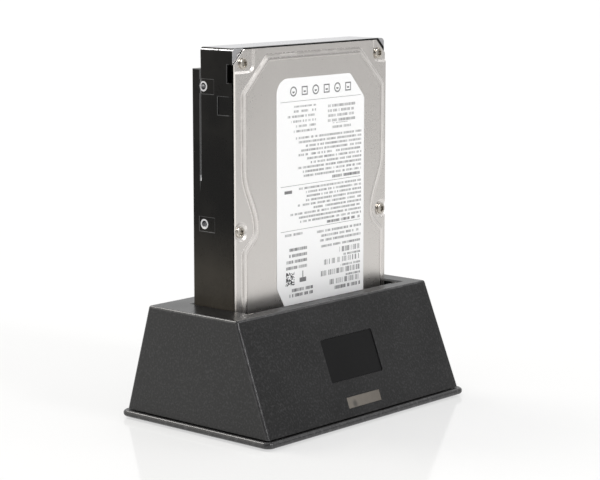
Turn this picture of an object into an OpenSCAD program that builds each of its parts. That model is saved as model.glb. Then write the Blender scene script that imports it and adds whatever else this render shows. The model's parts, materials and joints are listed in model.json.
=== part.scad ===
// Hard drive docking station with a 3.5 inch drive standing in its slot.
// X runs left to right, Y from front to back and Z up.
// The origin is the middle of the base, on the table.

/* [Dock body] */
// Width of the base flange, left to right
flange_w = 136; // [132:0.5:146]
// Depth of the base flange, front to back
flange_d = 90; // [88:0.5:100]
// Thickness of the base flange
flange_t = 2.9; // [2.6:0.1:3.4]
// How far the flange stands out past the foot of the body
flange_lip = 2.4; // [1.8:0.1:3]
// Rounding of the flange corners, seen from above
flange_corner_r = 4; // [3:0.5:8]
// Height of the top face above the table
dock_h = 52.3; // [51:0.1:58]
// Width of the top face
top_w = 128.8; // [127:0.2:131]
// Depth of the top face
top_d = 52.9; // [52:0.1:58]
// How far the top face is set back from the middle of the base
top_setback = 3.1; // [2.4:0.1:3.8]
// Wall of the upper shell
shell_wall = 2.4; // [2:0.1:2.8]
// Rounding of the edges of the shell
shell_edge_r = 1.2; // [0.8:0.1:1.8]
// Shadow gap between the shell and the flange
seam_gap = 0.4; // [0.2:0.1:0.6]
// Thickness of the base floor inside the flange
floor_t = 2; // [1.6:0.1:2.4]
// How far the rubber feet stand below the base
foot_proud = 0.8; // [0.6:0.1:1.4]
// Radius of a rubber foot
foot_r = 5; // [4:0.5:6]

/* [Front] */
// Width of the badge recess
badge_w = 35; // [24:0.5:44]
// Height of the badge recess, up the slope
badge_h = 19.8; // [14:0.2:24]
// Depth of the badge recess
badge_recess = 1; // [0.8:0.1:1.2]
// Thickness of the blank badge plate
badge_t = 0.6; // [0.4:0.1:0.8]
// Distance from the flange to the badge, up the slope
badge_rise = 16.6; // [14:0.2:20]
// Width of the light window
window_w = 22.4; // [14:0.2:28]
// Height of the light window, up the slope
window_h = 5; // [4:0.1:6]
// Distance from the flange to the light window, up the slope
window_rise = 4.1; // [3.6:0.1:5]

/* [Slot and door] */
// Sideways offset of the drive from the middle of the dock
drive_shift = 2.9; // [1.5:0.1:3.4]
// Distance from the middle of the dock to the front of the drive
drive_front = 8.4; // [7.6:0.1:8.8]
// Height of the lower end of the drive above the table
drive_seat_z = 18.2; // [17.8:0.1:20]
// Play between the drive and each end of the slot
slot_play = 0.7; // [0.5:0.1:1]
// Free space in front of the drive, where the door folds down
slot_front_gap = 8.4; // [8:0.1:9]
// Play behind the drive
slot_back_gap = 0.7; // [0.5:0.1:1]
// Wall of the cradle around the slot
cradle_wall = 1.6; // [1.2:0.1:2]
// Height of the cradle ribs that the drive stands on
rib_h = 3.3; // [3:0.1:3.6]
// Thickness of the door
door_t = 2.2; // [1.8:0.1:2.4]
// Radius of the door's hinge pin
hinge_pin_r = 1; // [0.8:0.1:1.1]
// Radius of the door's hinge barrel
barrel_r = 1.8; // [1.6:0.05:1.85]
// Room for a spring at each end of the door
spring_room = 5; // [4.8:0.1:6]
// Turns of a door spring, always a half more than a whole number
spring_turns = 3.5; // [2.5:1:3.5]

/* [Drive] */
// Width of the drive
drive_w = 101.6; // [101:0.1:102]
// Length of the drive
drive_l = 147; // [144:0.5:148]
// Thickness of the drive
drive_t = 26.1; // [25.8:0.1:26.6]
// Thickness of the label
label_t = 0.15; // [0.1:0.05:0.25]
// How far the middle of the cover stands up from its rim
cover_raise = 0.6; // [0.3:0.1:0.8]
// Depth of the screw pockets below the cover's rim
pocket_drop = 0.55; // [0.3:0.05:0.6]
// Thickness of the cover's rim
cover_rim_t = 1.05; // [1:0.05:1.3]
// Thickness of the gasket
gasket_t = 0.4; // [0.3:0.05:0.6]
// Radius of a platter
platter_r = 47.5; // [44:0.5:47.5]
// Thickness of a platter
platter_t = 1.27; // [0.8:0.01:1.6]
// Radius of the side and back mounting holes
mount_hole_r = 1.5; // [1.3:0.05:1.75]
// Distance from the middle of the drive to the middle of its plug
plug_shift = 20.7; // [18:0.1:21]

/* [Electronics] */
// Thickness of the circuit boards
board_t = 1.6; // [1:0.1:1.8]
// Height of the board's underside above the table
board_z = 6.4; // [6:0.1:6.6]
// Width of the port bay at the back
bay_w = 80; // [76:1:88]
// Height of the port bay's roof above the table
bay_roof_z = 25; // [23.5:0.5:28]
// Distance from the middle of the dock to the port panel
panel_y = 34.4; // [34:0.1:34.8]

/* [Hidden] */
$fn = 48;

// Small overlap that carries a cut past a face
past = 0.5;
// Clearance between round pieces that stay still
fit = 0.05;
// Clearance between flat pieces that stay still
play = 0.2;

// Levels and slopes of the body
base_z = foot_proud;
flange_top_z = base_z + flange_t;
floor_z = base_z + floor_t;
shell_foot_z = flange_top_z + seam_gap;
shell_roof_z = dock_h - shell_wall;
foot_w = flange_w - 2 * flange_lip;
foot_d = flange_d - 2 * flange_lip;
rise = dock_h - flange_top_z;
side_run = (foot_w - top_w) / 2;
front_run = (foot_d - top_d) / 2 + top_setback;
back_run = (foot_d - top_d) / 2 - top_setback;
side_lean = atan(side_run / rise);
front_lean = atan(front_run / rise);
back_lean = atan(back_run / rise);

// Half width, front and back of the body at height z, moved in by a wall thickness
function side_x(z, inset = 0) = foot_w / 2 - (z - flange_top_z) * side_run / rise - inset / cos(side_lean);
function front_y(z, inset = 0) =
    -foot_d / 2 + (z - flange_top_z) * front_run / rise + inset / cos(front_lean);
function back_y(z, inset = 0) = foot_d / 2 - (z - flange_top_z) * back_run / rise - inset / cos(back_lean);

// Slot
slot_x0 = drive_shift - drive_w / 2 - slot_play;
slot_x1 = drive_shift + drive_w / 2 + slot_play;
slot_y0 = -drive_front - slot_front_gap;
slot_y1 = -drive_front + drive_t + slot_back_gap;
slot_w = slot_x1 - slot_x0;
slot_d = slot_y1 - slot_y0;
slot_edge = 0.8;
seat_gap = 0.3;
cradle_floor_z = drive_seat_z - seat_gap - rib_h;
rib_t = 2;

// Door hinge
hinge_y = slot_y0 + 2;
hinge_z = shell_roof_z;
pin_seat = 2.4;
door_side_gap = 0.6;
door_l = slot_y1 - 0.5 - hinge_y;
small_drive_w = 69.85;
small_drive_t = 12.5;
spring_cut = 6.5;

// Door spring
coil_r = 1.65;
wire_r = 0.28;
coil_pitch = 1.05;
coil_start = 0.75;
spring_leg = 10;
spring_stub = 4.4;
rings_per_turn = 8;
wire_sides = 6;
peg_r = 0.45;
peg_drop = 3;

// Screws
base_screw_r = 1.4;
base_head_r = 2.8;
base_head_h = 1.8;
base_pad_h = 3.4;
base_screw_l = 12;
boss_r = 3.4;
boss_top_z = 22;
base_screw_x = foot_w / 2 - 9;
base_screw_y = foot_d / 2 - 8.6;
foot_x = base_screw_x - foot_r - base_head_r - 2.6;
foot_y = base_screw_y;
small_screw_r = 1.1;
small_head_r = 2.2;
small_head_h = 1.5;
ear_z = 40;
ear_t = 2;
ear_r = 2.8;
cradle_screw_l = 8;

// Circuit board
board_top_z = board_z + board_t;
board_w = 92;
board_y0 = -14;
board_y1 = 31.2;
tab_w = 22;
led_x = -6;
led_r = 1.5;
led_l = 3;
led_lift = 0.1;
led_front = 0.6;
led_gap = 0.5;
led_rim = 0.1;
led_rim_l = 1;
led_lead_w = 2.4;
led_lead_t = 0.8;
led_z = board_top_z + led_r + led_lift;
window_rim = 1.2;
window_rim_t = 1;
tab_y0 = front_y(led_z, shell_wall + window_rim_t) + led_r + led_front + led_gap;
standoff_r = 3;
board_hole_x = 40;
board_hole_y0 = -8;
board_hole_y1 = 24;
board_holes = [for (y = [board_hole_y0, board_hole_y1], x = [-board_hole_x, board_hole_x]) [x, y]];
base_lip_t = 1.4;
base_lip_h = 3;

// Port bay and ports
panel_t = 2;
bay_floor_z = 6.8;
bay_wall = 1.8;
usb_x = -22;
usb_w = 12;
usb_h = 10.8;
usb_l = 13.8;
usb_open_w = 8.45;
usb_open_h = 7.78;
usb_open_l = 9;
jack_x = -2;
jack_w = 9;
jack_h = 10.6;
jack_l = 11.6;
jack_z = board_top_z + 6.2;
jack_bore_r = 3.1;
jack_nose_r = 4;
switch_x = 20;
switch_z = 15.5;
switch_w = 12.8;
switch_h = 8.4;
switch_l = 10;
bezel_w = 15;
bezel_h = 10.4;
bezel_t = 1.4;
rocker_r = 5.5;
rocker_h = 6.8;
rocker_tilt = 8;
rocker_y = panel_y - 0.4;

// Drive frame: local x from its left side, y from its front, z from its lower end
drive_x0 = drive_shift - drive_w / 2;
cover_back = label_t + cover_raise + cover_rim_t;
cover_rim_y = label_t + cover_raise;
base_front = cover_back + gasket_t;
cover_edge = 0.3;
cover_cut = 6.2;
cover_top = drive_l - 0.6;
cover_foot = 4;
casting_r = 2;
back_step_z = drive_l - 9.5;
back_step_y = drive_t - 4.8;
rail_w = 6.6;
pan_y = drive_t - 1.7;
tub_y = 19;
tub_r = platter_r + 0.8;
spindle_x = drive_w / 2;
spindle_drop = 50.8;
spindle_z = drive_l - spindle_drop;
well_x0 = 18;
well_wall = 5.2;
well_x1 = drive_w - well_wall;
well_z0 = 15;
well_z1 = 62;
well_r = 6;
motor_r = 13;
coil_in = 9.5;
coil_out = 23;
yoke_gap = 1.4;
yoke_rise = 2;
pivot_x = well_x1 - yoke_gap - coil_out;
pivot_z = well_z0 + yoke_rise + coil_out;
side_hole_low = 28.5;
side_hole_mid = 41.6;
side_hole_span = 101.6;
side_hole_z = [side_hole_low, side_hole_low + side_hole_mid, side_hole_low + side_hole_span];
side_hole_y = drive_t - 6.35;
back_hole_low = 41.28;
back_hole_span = 44.45;
back_hole_z = [back_hole_low, back_hole_low + back_hole_span];
back_hole_x = 3.18;
mount_hole_l = 4;
cover_screw_r = 1.2;
cover_head_r = 2.5;
cover_head_h = 1;
cover_screw_l = 6;
corner_screw = 5.6;
corner_screw_z = drive_l - 6.6;
side_screw = 3.1;
side_screw_z = 68;
foot_screw_z = 9.5;
cover_screw_places = [
    [corner_screw, corner_screw_z], [drive_w - corner_screw, corner_screw_z],
    [side_screw, side_screw_z], [drive_w - side_screw, side_screw_z],
    [corner_screw, foot_screw_z], [drive_w - corner_screw, foot_screw_z]
];
pcb_y = drive_t - 0.9 - board_t;
pcb_pan_y = 21;
pcb_z0 = 2.8;
pcb_z1 = 89.6;
pcb_screw_x = 11;
pcb_screw_z = [20, 78];
pcb_boss_r = 3;
pcb_screw_bite = 3;
pcb_head_h = 0.8;
chip_t = 1.2;
pcb_places = [for (x = [pcb_screw_x, drive_w - pcb_screw_x], z = pcb_screw_z) [x, z]];

// Plug of the drive and receptacle of the dock
plug_x = drive_shift + plug_shift;
plug_y = -drive_front + drive_t - 3.5;
plug_lx = drive_w / 2 + plug_shift;
plug_ly = drive_t - 3.5;
nose_w = 36.4;
nose_d = 4.2;
nose_h = 5.2;
nose_gap = 0.4;
plug_wall = 0.9;
plug_h = 9;
tongue_t = 1.23;
tongue_l = 5.2;
tongue_gap = 0.26;
data_w = 10.4;
power_w = 20.6;
tongue_space = 2.4;
data_x = -(data_w + power_w + tongue_space) / 2 + data_w / 2;
power_x = (data_w + power_w + tongue_space) / 2 - power_w / 2;
contact_pitch = 1.27;
contact_w = 0.7;
contact_t = 0.12;
contact_l = 5;
tower_w = 38;
tower_d = 6.4;
nose_top_z = drive_seat_z + nose_h;
plug_w = nose_w + 2 * nose_gap + 2 * plug_wall;
plug_d = nose_d + 2 * nose_gap + 2 * plug_wall;

// Platter stack and actuator, along y from the cover
first_platter_y = 7.3;
platter_step = 5;
platter_y = [first_platter_y, first_platter_y + platter_step];
hub_r = 12.4;
hub_y0 = 4.4;
hub_y1 = 18;
shaft_r = 3;
stack_r = 15;
motor_boss_r = 8;
hub_rise = 0.4;
shaft_top = 1;
hub_roof = 0.6;
hub_flange = 3;
clamp_t = 1.3;
clamp_bore_r = 4;
clamp_screw_at = 9;
clamp_screw_r = 0.8;
clamp_screw_l = 5;
clamp_head_r = 1.4;
clamp_head_h = 0.5;
arm_t = 1.2;
arm_gap = 1.2;
arm_y = [
    platter_y[0] - arm_gap - arm_t, (platter_y[0] + platter_t + platter_y[1] - arm_t) / 2,
    platter_y[1] + platter_t + arm_gap
];
arm_l = 34;
arm_root_w = 13;
arm_tip_w = 5;
strip_w = 2.4;
strip_lap = 6;
strip_end = 1;
head_l = 48;
park_r = platter_r + 2.6;
sleeve_r = 7;
sleeve_gap = 0.6;
post_r = 4;
post_rise = 1.3;
ramp_w = 6;
ramp_h = 2.4;
ramp_d = 4;
pivot_reach = norm([spindle_x - pivot_x, spindle_z - pivot_z]);
pivot_aim = atan2(spindle_z - pivot_z, spindle_x - pivot_x);
park_turn = acos((pivot_reach ^ 2 + head_l ^ 2 - park_r ^ 2) / (2 * pivot_reach * head_l));
arm_aim = pivot_aim + park_turn;
coil_half = 20;
coil_rim = 1.3;
coil_w = 2.5;
coil_turn = 6.4;
coil_edge = 5.6;
yoke_a0 = -84;
yoke_a1 = 18;
yoke_post_r = 1.2;
yoke_post_at = 18;
yoke_t = 2;
magnet_t = 1.8;
coil_gap = 0.6;

// Shapes used by many pieces

module slab_x(len) {
    rotate([90, 0, 90]) linear_extrude(len, center = true) children();
}

module slab_y(y, t) {
    translate([0, y + t, 0]) rotate([90, 0, 0]) linear_extrude(t) children();
}

module rod_x(r, x0, x1) {
    translate([x0, 0, 0]) rotate([0, 90, 0]) cylinder(r = r, h = x1 - x0);
}

module rod_y(r, y0, y1) {
    translate([0, y0, 0]) rotate([-90, 0, 0]) cylinder(r = r, h = y1 - y0);
}

module round_rect(w, h, r) {
    translate([r, 0]) square([w - 2 * r, h]);
    translate([0, r]) square([w, h - 2 * r]);
    for (x = [r, w - r], y = [r, h - r]) translate([x, y]) circle(r);
}

// Straight-edged body between two heights, moved in by a wall thickness
module body_block(inset, z0, z1) {
    intersection() {
        slab_x(flange_w) polygon([
            [front_y(z0, inset), z0], [back_y(z0, inset), z0],
            [back_y(z1, inset), z1], [front_y(z1, inset), z1]
        ]);
        translate([0, -flange_d / 2, 0]) slab_y(0, flange_d) polygon([
            [-side_x(z0, inset), z0], [side_x(z0, inset), z0],
            [side_x(z1, inset), z1], [-side_x(z1, inset), z1]
        ]);
    }
}

// Body with rounded edges, open below
module body_round() {
    z0 = shell_foot_z - 4;
    z1 = dock_h - shell_edge_r;
    intersection() {
        hull() for (z = [z0, z1], s = [-1, 1], y = [front_y(z, shell_edge_r), back_y(z, shell_edge_r)])
            translate([s * side_x(z, shell_edge_r), y, z]) sphere(shell_edge_r, $fn = 28);
        translate([-flange_w, -flange_d, shell_foot_z]) cube([2 * flange_w, 2 * flange_d, dock_h]);
    }
}

// Frame on the front slope: x to the right, y up the slope from the flange, z outwards
module on_front() {
    translate([0, -foot_d / 2, flange_top_z]) rotate([90 - front_lean, 0, 0]) children();
}

module at_corners(x, y) {
    for (sx = [-1, 1], sy = [-1, 1]) translate([sx * x, sy * y, 0]) children();
}

module in_drive() {
    translate([drive_x0, -drive_front, drive_seat_z]) children();
}

// Screw standing head down, with its head under z = 0
module screw_up(r, len, head_r, head_h) {
    difference() {
        union() {
            cylinder(r = r, h = len);
            translate([0, 0, -head_h]) cylinder(r = head_r, h = head_h);
        }
        translate([0, 0, -head_h - past]) cylinder(r = head_r * 0.45, h = head_h * 0.6 + past, $fn = 6);
    }
}

// Places of the three screws that hold the cradle
ear_back_y = (slot_y1 + cradle_wall + back_y(shell_roof_z, shell_wall)) / 2;
ear_side_x = -(cradle_wall - slot_x0 + side_x(shell_roof_z, shell_wall)) / 2;
ear_places = [[-36, ear_back_y], [40, ear_back_y], [ear_side_x, 0]];

// Dock

module slot_mouth() {
    translate([slot_x0, slot_y0, shell_roof_z - past]) cube([slot_w, slot_d, shell_wall + 2 * past]);
    hull() {
        translate([slot_x0, slot_y0, dock_h - slot_edge]) cube([slot_w, slot_d, 0.01]);
        translate([slot_x0 - slot_edge, slot_y0 - slot_edge, dock_h])
            cube([slot_w + 2 * slot_edge, slot_d + 2 * slot_edge, 0.01]);
    }
}

module port_holes() {
    translate([usb_x - usb_w / 2 - play, panel_y - panel_t - past, board_top_z - play])
        cube([usb_w + 2 * play, panel_t + 2 * past, usb_h + 2 * play]);
    translate([jack_x, 0, jack_z]) rod_y(jack_nose_r + fit, panel_y - panel_t - past, panel_y + past);
    translate([switch_x - switch_w / 2 - play, panel_y - panel_t - past, switch_z - switch_h / 2 - play])
        cube([switch_w + 2 * play, panel_t + 2 * past, switch_h + 2 * play]);
}

module port_bay() {
    intersection() {
        translate([-bay_w / 2 - bay_wall, panel_y - panel_t, bay_floor_z - bay_wall])
            cube([bay_w + 2 * bay_wall, flange_d / 2, bay_roof_z - bay_floor_z + 2 * bay_wall]);
        body_block(shell_wall / 2, shell_foot_z, dock_h);
    }
}

module upper_shell() {
    color([0.2, 0.2, 0.21]) difference() {
        union() {
            difference() {
                body_round();
                body_block(shell_wall, shell_foot_z - past, shell_roof_z);
            }
            port_bay();
            intersection() {
                at_corners(base_screw_x, base_screw_y) translate([0, 0, base_z + base_pad_h + fit])
                    cylinder(r = boss_r, h = boss_top_z);
                body_block(shell_wall / 2, base_z, boss_top_z);
            }
            for (p = ear_places) translate([p[0], p[1], ear_z + fit])
                cylinder(r = ear_r, h = shell_roof_z - ear_z + past);
        }
        slot_mouth();
        at_corners(base_screw_x, base_screw_y) translate([0, 0, base_z])
            cylinder(r = base_screw_r + fit, h = base_head_h + base_screw_l + 1);
        for (p = ear_places) translate([p[0], p[1], ear_z - past])
            cylinder(r = small_screw_r + fit, h = cradle_screw_l + past);
        translate([0, hinge_y, hinge_z])
            rod_x(hinge_pin_r + fit, slot_x0 - pin_seat - fit, slot_x1 + pin_seat + fit);
        on_front() translate([-badge_w / 2, badge_rise, -badge_recess])
            linear_extrude(badge_recess + past) round_rect(badge_w, badge_h, 1);
        on_front() translate([-window_w / 2, window_rise, -shell_wall - past])
            cube([window_w, window_h, shell_wall + 2 * past]);
        translate([-bay_w / 2, panel_y, bay_floor_z]) cube([bay_w, flange_d / 2, bay_roof_z - bay_floor_z]);
        port_holes();
    }
}

// Floor with a round-edged flange and a low lip that locates the shell
module base_plate() {
    edge_r = flange_t * 0.45;
    lip_top = shell_foot_z + base_lip_h;
    side_l = base_screw_y - boss_r - 1;
    front_x0 = window_w / 2 + 2;
    front_x1 = base_screw_x - boss_r - 1;
    color([0.17, 0.17, 0.18]) difference() {
        union() {
            difference() {
                union() {
                    hull() for (z = [base_z + edge_r, flange_top_z - edge_r])
                        at_corners(flange_w / 2 - flange_corner_r, flange_d / 2 - flange_corner_r)
                            translate([0, 0, z]) rotate_extrude($fn = 32)
                                translate([flange_corner_r - edge_r, 0]) circle(edge_r, $fn = 20);
                    intersection() {
                        body_block(shell_wall + play, floor_z, lip_top);
                        union() {
                            translate([-flange_w / 2, -side_l, 0]) cube([flange_w, 2 * side_l, dock_h]);
                            for (s = [-1, 1]) translate([s > 0 ? front_x0 : -front_x1, -flange_d / 2, 0])
                                cube([front_x1 - front_x0, flange_d / 2 - side_l, dock_h]);
                        }
                    }
                }
                body_block(shell_wall + play + base_lip_t, floor_z, lip_top + past);
            }
            at_corners(base_screw_x, base_screw_y) translate([0, 0, base_z + past])
                cylinder(r = boss_r, h = base_pad_h - past);
            for (p = board_holes) translate([p[0], p[1], base_z + past])
                cylinder(r = standoff_r, h = board_z - base_z - past);
        }
        at_corners(base_screw_x, base_screw_y) {
            translate([0, 0, base_z - past]) cylinder(r = base_head_r + play, h = base_head_h + play + past);
            translate([0, 0, base_z]) cylinder(r = base_screw_r + play, h = rise);
        }
        at_corners(foot_x, foot_y) translate([0, 0, base_z - past])
            cylinder(r = foot_r + fit, h = foot_proud + past);
        for (p = board_holes) translate([p[0], p[1], floor_z]) cylinder(r = small_screw_r + fit, h = rise);
    }
}

module rubber_feet() {
    color([0.1, 0.1, 0.1]) at_corners(foot_x, foot_y) cylinder(r = foot_r, h = 2 * foot_proud);
}

module base_screws() {
    color([0.6, 0.6, 0.62]) at_corners(base_screw_x, base_screw_y)
        translate([0, 0, base_z + base_head_h + play]) screw_up(base_screw_r, base_screw_l, base_head_r, base_head_h);
}

module badge_plate() {
    color([0.13, 0.13, 0.14]) on_front() translate([-badge_w / 2 + play, badge_rise + play, -badge_recess])
        linear_extrude(badge_t) round_rect(badge_w - 2 * play, badge_h - 2 * play, 0.9);
}

module status_window() {
    flush = 0.05;
    bond = 0.1;
    color([0.55, 0.53, 0.48]) on_front() {
        translate([-window_w / 2 + fit, window_rise + fit, -shell_wall - bond])
            cube([window_w - 2 * fit, window_h - 2 * fit, shell_wall + bond - flush]);
        translate([-window_w / 2 - window_rim, window_rise - window_rim, -shell_wall - window_rim_t])
            cube([window_w + 2 * window_rim, window_h + 2 * window_rim, window_rim_t]);
    }
}

module drive_cradle() {
    out_x = slot_x0 - cradle_wall;
    out_y = slot_y0 - cradle_wall;
    out_w = slot_w + 2 * cradle_wall;
    out_d = slot_d + 2 * cradle_wall;
    rib_x = [slot_x0 + 5, slot_x0 + 26, slot_x0 + 47, slot_x1 - 5];
    color([0.14, 0.14, 0.15]) difference() {
        union() {
            difference() {
                translate([out_x, out_y, cradle_floor_z - cradle_wall])
                    cube([out_w, out_d, shell_roof_z - cradle_floor_z + cradle_wall]);
                translate([slot_x0, slot_y0, cradle_floor_z]) cube([slot_w, slot_d, rise]);
            }
            for (x = rib_x) translate([x - rib_t / 2, -drive_front + 2, cradle_floor_z - past])
                cube([rib_t, slot_y1 + drive_front - 2 + past, rib_h + past]);
            for (s = [0, 1]) translate([0, hinge_y + coil_r - wire_r - peg_r - fit, hinge_z - peg_drop])
                rod_x(peg_r, s == 0 ? slot_x0 - past : slot_x1 - 1.8, s == 0 ? slot_x0 + 1.8 : slot_x1 + past);
            for (p = ear_places) translate([p[0], p[1], ear_z - ear_t]) cylinder(r = ear_r, h = ear_t);
            for (p = [ear_places[0], ear_places[1]]) translate([p[0] - ear_r, slot_y1 + past, ear_z - ear_t])
                cube([2 * ear_r, p[1] - slot_y1 - past, ear_t]);
            translate([ear_side_x, -ear_r, ear_z - ear_t])
                cube([slot_x0 - past - ear_side_x, 2 * ear_r, ear_t]);
        }
        translate([plug_x, plug_y, cradle_floor_z - cradle_wall - past])
            translate([-tower_w / 2 - 2 * play, -tower_d / 2 - 2 * play, 0])
                cube([tower_w + 4 * play, tower_d + 4 * play, cradle_wall + rib_h + 2 * past]);
        for (p = ear_places) translate([p[0], p[1], ear_z - ear_t - past])
            cylinder(r = small_screw_r + play, h = ear_t + 2 * past);
        translate([0, hinge_y, hinge_z]) rod_x(hinge_pin_r + fit, out_x - past, out_x + out_w + past);
    }
}

module cradle_screws() {
    color([0.6, 0.6, 0.62]) for (p = ear_places) translate([p[0], p[1], ear_z - ear_t])
        screw_up(small_screw_r, ear_t + cradle_screw_l - 1, small_head_r, small_head_h);
}

// The door hangs open in front of the drive, down from its hinge
module flap_door() {
    x0 = slot_x0 + door_side_gap;
    x1 = slot_x1 - door_side_gap;
    notch_x = slot_x1 - slot_play - small_drive_w - 1;
    color([0.16, 0.16, 0.17]) translate([0, hinge_y, hinge_z]) difference() {
        union() {
            translate([x0, -door_t / 2, -door_l]) cube([x1 - x0, door_t, door_l]);
            rod_x(barrel_r, slot_x0 + spring_room, slot_x1 - spring_room);
        }
        for (x = [x0 - past, slot_x1 - spring_room])
            translate([x, -door_t, -spring_cut])
                cube([spring_room - door_side_gap + past, 2 * door_t, spring_cut + past]);
        translate([notch_x, -door_t, -door_l - past])
            cube([slot_w, 2 * door_t, small_drive_t + 1 + past]);
        rod_x(hinge_pin_r + fit, slot_x0, slot_x1);
    }
}

module flap_pin() {
    color([0.7, 0.7, 0.72]) translate([0, hinge_y, hinge_z])
        rod_x(hinge_pin_r, slot_x0 - pin_seat, slot_x1 + pin_seat);
}

// Path of a door spring about the hinge line: a stub, the turns and a long leg on the door
spring_steps = spring_turns * rings_per_turn;
spring_path = concat(
    [[0, coil_r, -spring_stub]],
    [for (i = [0 : spring_steps]) let (a = i * 360 / rings_per_turn)
        [i * coil_pitch / rings_per_turn, coil_r * cos(a), coil_r * sin(a)]],
    [[spring_turns * coil_pitch, -coil_r, -spring_leg]]
);

// Least free gap between neighbouring turns of the spring
spring_gap = min([for (i = [1 : len(spring_path) - 2], j = [i + rings_per_turn / 2 : 1 : len(spring_path) - 2])
    norm(spring_path[i] - spring_path[j])]) - 2 * wire_r;
echo(spring_gap = spring_gap);

function unit(v) = v / norm(v);

module tube(path, r, sides) {
    n = len(path);
    along = [for (i = [0 : n - 1]) unit(path[min(i + 1, n - 1)] - path[max(i - 1, 0)])];
    side = [for (t = along) unit(cross(t, [1, 0.02, 0.01]))];
    up = [for (i = [0 : n - 1]) cross(along[i], side[i])];
    points = [for (i = [0 : n - 1], k = [0 : sides - 1])
        path[i] + r * (cos(k * 360 / sides) * side[i] + sin(k * 360 / sides) * up[i])];
    faces = concat(
        [[for (k = [sides - 1 : -1 : 0]) k]],
        [for (i = [0 : n - 2], k = [0 : sides - 1], half = [0, 1]) let (m = (k + 1) % sides, j = i + 1)
            half == 0 ? [i * sides + k, i * sides + m, j * sides + m]
                : [i * sides + k, j * sides + m, j * sides + k]],
        [[for (k = [0 : sides - 1]) (n - 1) * sides + k]]
    );
    polyhedron(points, [for (f = faces) [for (k = [len(f) - 1 : -1 : 0]) f[k]]]);
}

module flap_springs() {
    color([0.75, 0.75, 0.77]) translate([0, hinge_y, hinge_z]) {
        translate([slot_x0 + coil_start, 0, 0]) tube(spring_path, wire_r, wire_sides);
        translate([slot_x1 - coil_start, 0, 0]) mirror([1, 0, 0]) tube(spring_path, wire_r, wire_sides);
    }
}

module main_board() {
    color([0.1, 0.3, 0.18]) difference() {
        union() {
            translate([-board_w / 2, board_y0, board_z]) cube([board_w, board_y1 - board_y0, board_t]);
            translate([-tab_w / 2, tab_y0, board_z]) cube([tab_w, board_y0 - tab_y0 + past, board_t]);
        }
        for (p = board_holes) translate([p[0], p[1], board_z - past])
            cylinder(r = small_screw_r + play, h = board_t + 2 * past);
    }
}

module board_screws() {
    color([0.6, 0.6, 0.62]) for (p = board_holes) translate([p[0], p[1], board_top_z])
        mirror([0, 0, 1]) screw_up(small_screw_r, board_t + 3, small_head_r, small_head_h);
}

module contact_row(count, x) {
    for (i = [0 : count - 1])
        translate([x + (i - (count - 1) / 2) * contact_pitch - contact_w / 2, 0, 0]) children();
}

module sata_receptacle() {
    tower_top = drive_seat_z - seat_gap - 0.3;
    color([0.08, 0.08, 0.08]) difference() {
        union() {
            translate([plug_x - tower_w / 2, plug_y - tower_d / 2, board_top_z])
                cube([tower_w, tower_d, tower_top - board_top_z]);
            translate([plug_x - nose_w / 2, plug_y - nose_d / 2, tower_top - past])
                cube([nose_w, nose_d, nose_top_z - tower_top + past]);
        }
        for (s = [[data_x, data_w], [power_x, power_w]])
            translate([plug_x + s[0], plug_y, nose_top_z - tongue_l - 1])
                translate([-s[1] / 2 - tongue_gap, -tongue_t / 2 - tongue_gap, 0])
                    cube([s[1] + 2 * tongue_gap, tongue_t + 2 * tongue_gap, tongue_l + 1 + past]);
    }
}

module sata_contacts() {
    y = plug_y + tongue_t / 2 + tongue_gap - contact_t;
    color([0.85, 0.7, 0.35]) translate([plug_x, y, nose_top_z - tongue_l - 0.9]) {
        contact_row(7, data_x) cube([contact_w, contact_t, contact_l]);
        contact_row(15, power_x) cube([contact_w, contact_t, contact_l]);
    }
}

module bridge_chip() {
    color([0.1, 0.1, 0.1]) translate([-25, -3, board_top_z]) cube([10, 10, 1.4]);
}

module flash_chip() {
    color([0.1, 0.1, 0.1]) translate([-36, 4, board_top_z]) cube([5, 4, 1.5]);
}

module crystal() {
    color([0.75, 0.75, 0.75]) translate([-24, -10, board_top_z]) {
        translate([2.2, 0, 0]) cube([6.6, 4.4, 3.4]);
        for (x = [2.2, 8.8]) translate([x, 2.2, 0]) cylinder(r = 2.2, h = 3.4);
    }
}

module capacitors() {
    color([0.3, 0.32, 0.4]) for (p = [[-11.5, 24.6], [33, 26]]) translate([p[0], p[1], board_top_z])
        cylinder(r = 3.15, h = 9);
}

module inductor() {
    color([0.2, 0.2, 0.2]) translate([4.6, 23.6, board_top_z]) cube([7, 7, 3.8]);
}

module status_led() {
    color([0.3, 0.45, 0.8]) translate([led_x, tab_y0, led_z]) {
        rod_y(led_r, -led_front, led_l);
        translate([0, -led_front, 0]) sphere(led_r);
        rod_y(led_r + led_rim, led_l, led_l + led_rim_l);
        translate([-led_lead_w / 2, led_l + led_rim_l - led_lead_t, -led_r - led_lift])
            cube([led_lead_w, led_lead_t, led_r]);
    }
}

module usb_socket() {
    y0 = panel_y + 0.4 - usb_l;
    color([0.75, 0.75, 0.77]) difference() {
        translate([usb_x - usb_w / 2, y0, board_top_z]) cube([usb_w, usb_l, usb_h]);
        translate([usb_x - usb_open_w / 2, y0 + usb_l - usb_open_l, board_top_z + (usb_h - usb_open_h) / 2])
            cube([usb_open_w, usb_open_l + past, usb_open_h]);
    }
}

module usb_tongue() {
    tongue_w = 5.6;
    tongue_h = 3.2;
    y0 = panel_y + 0.4 - usb_open_l;
    color([0.9, 0.9, 0.88]) translate([usb_x - tongue_w / 2, y0, board_top_z + (usb_h - tongue_h) / 2])
        cube([tongue_w, usb_open_l - 1, tongue_h]);
}

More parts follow.
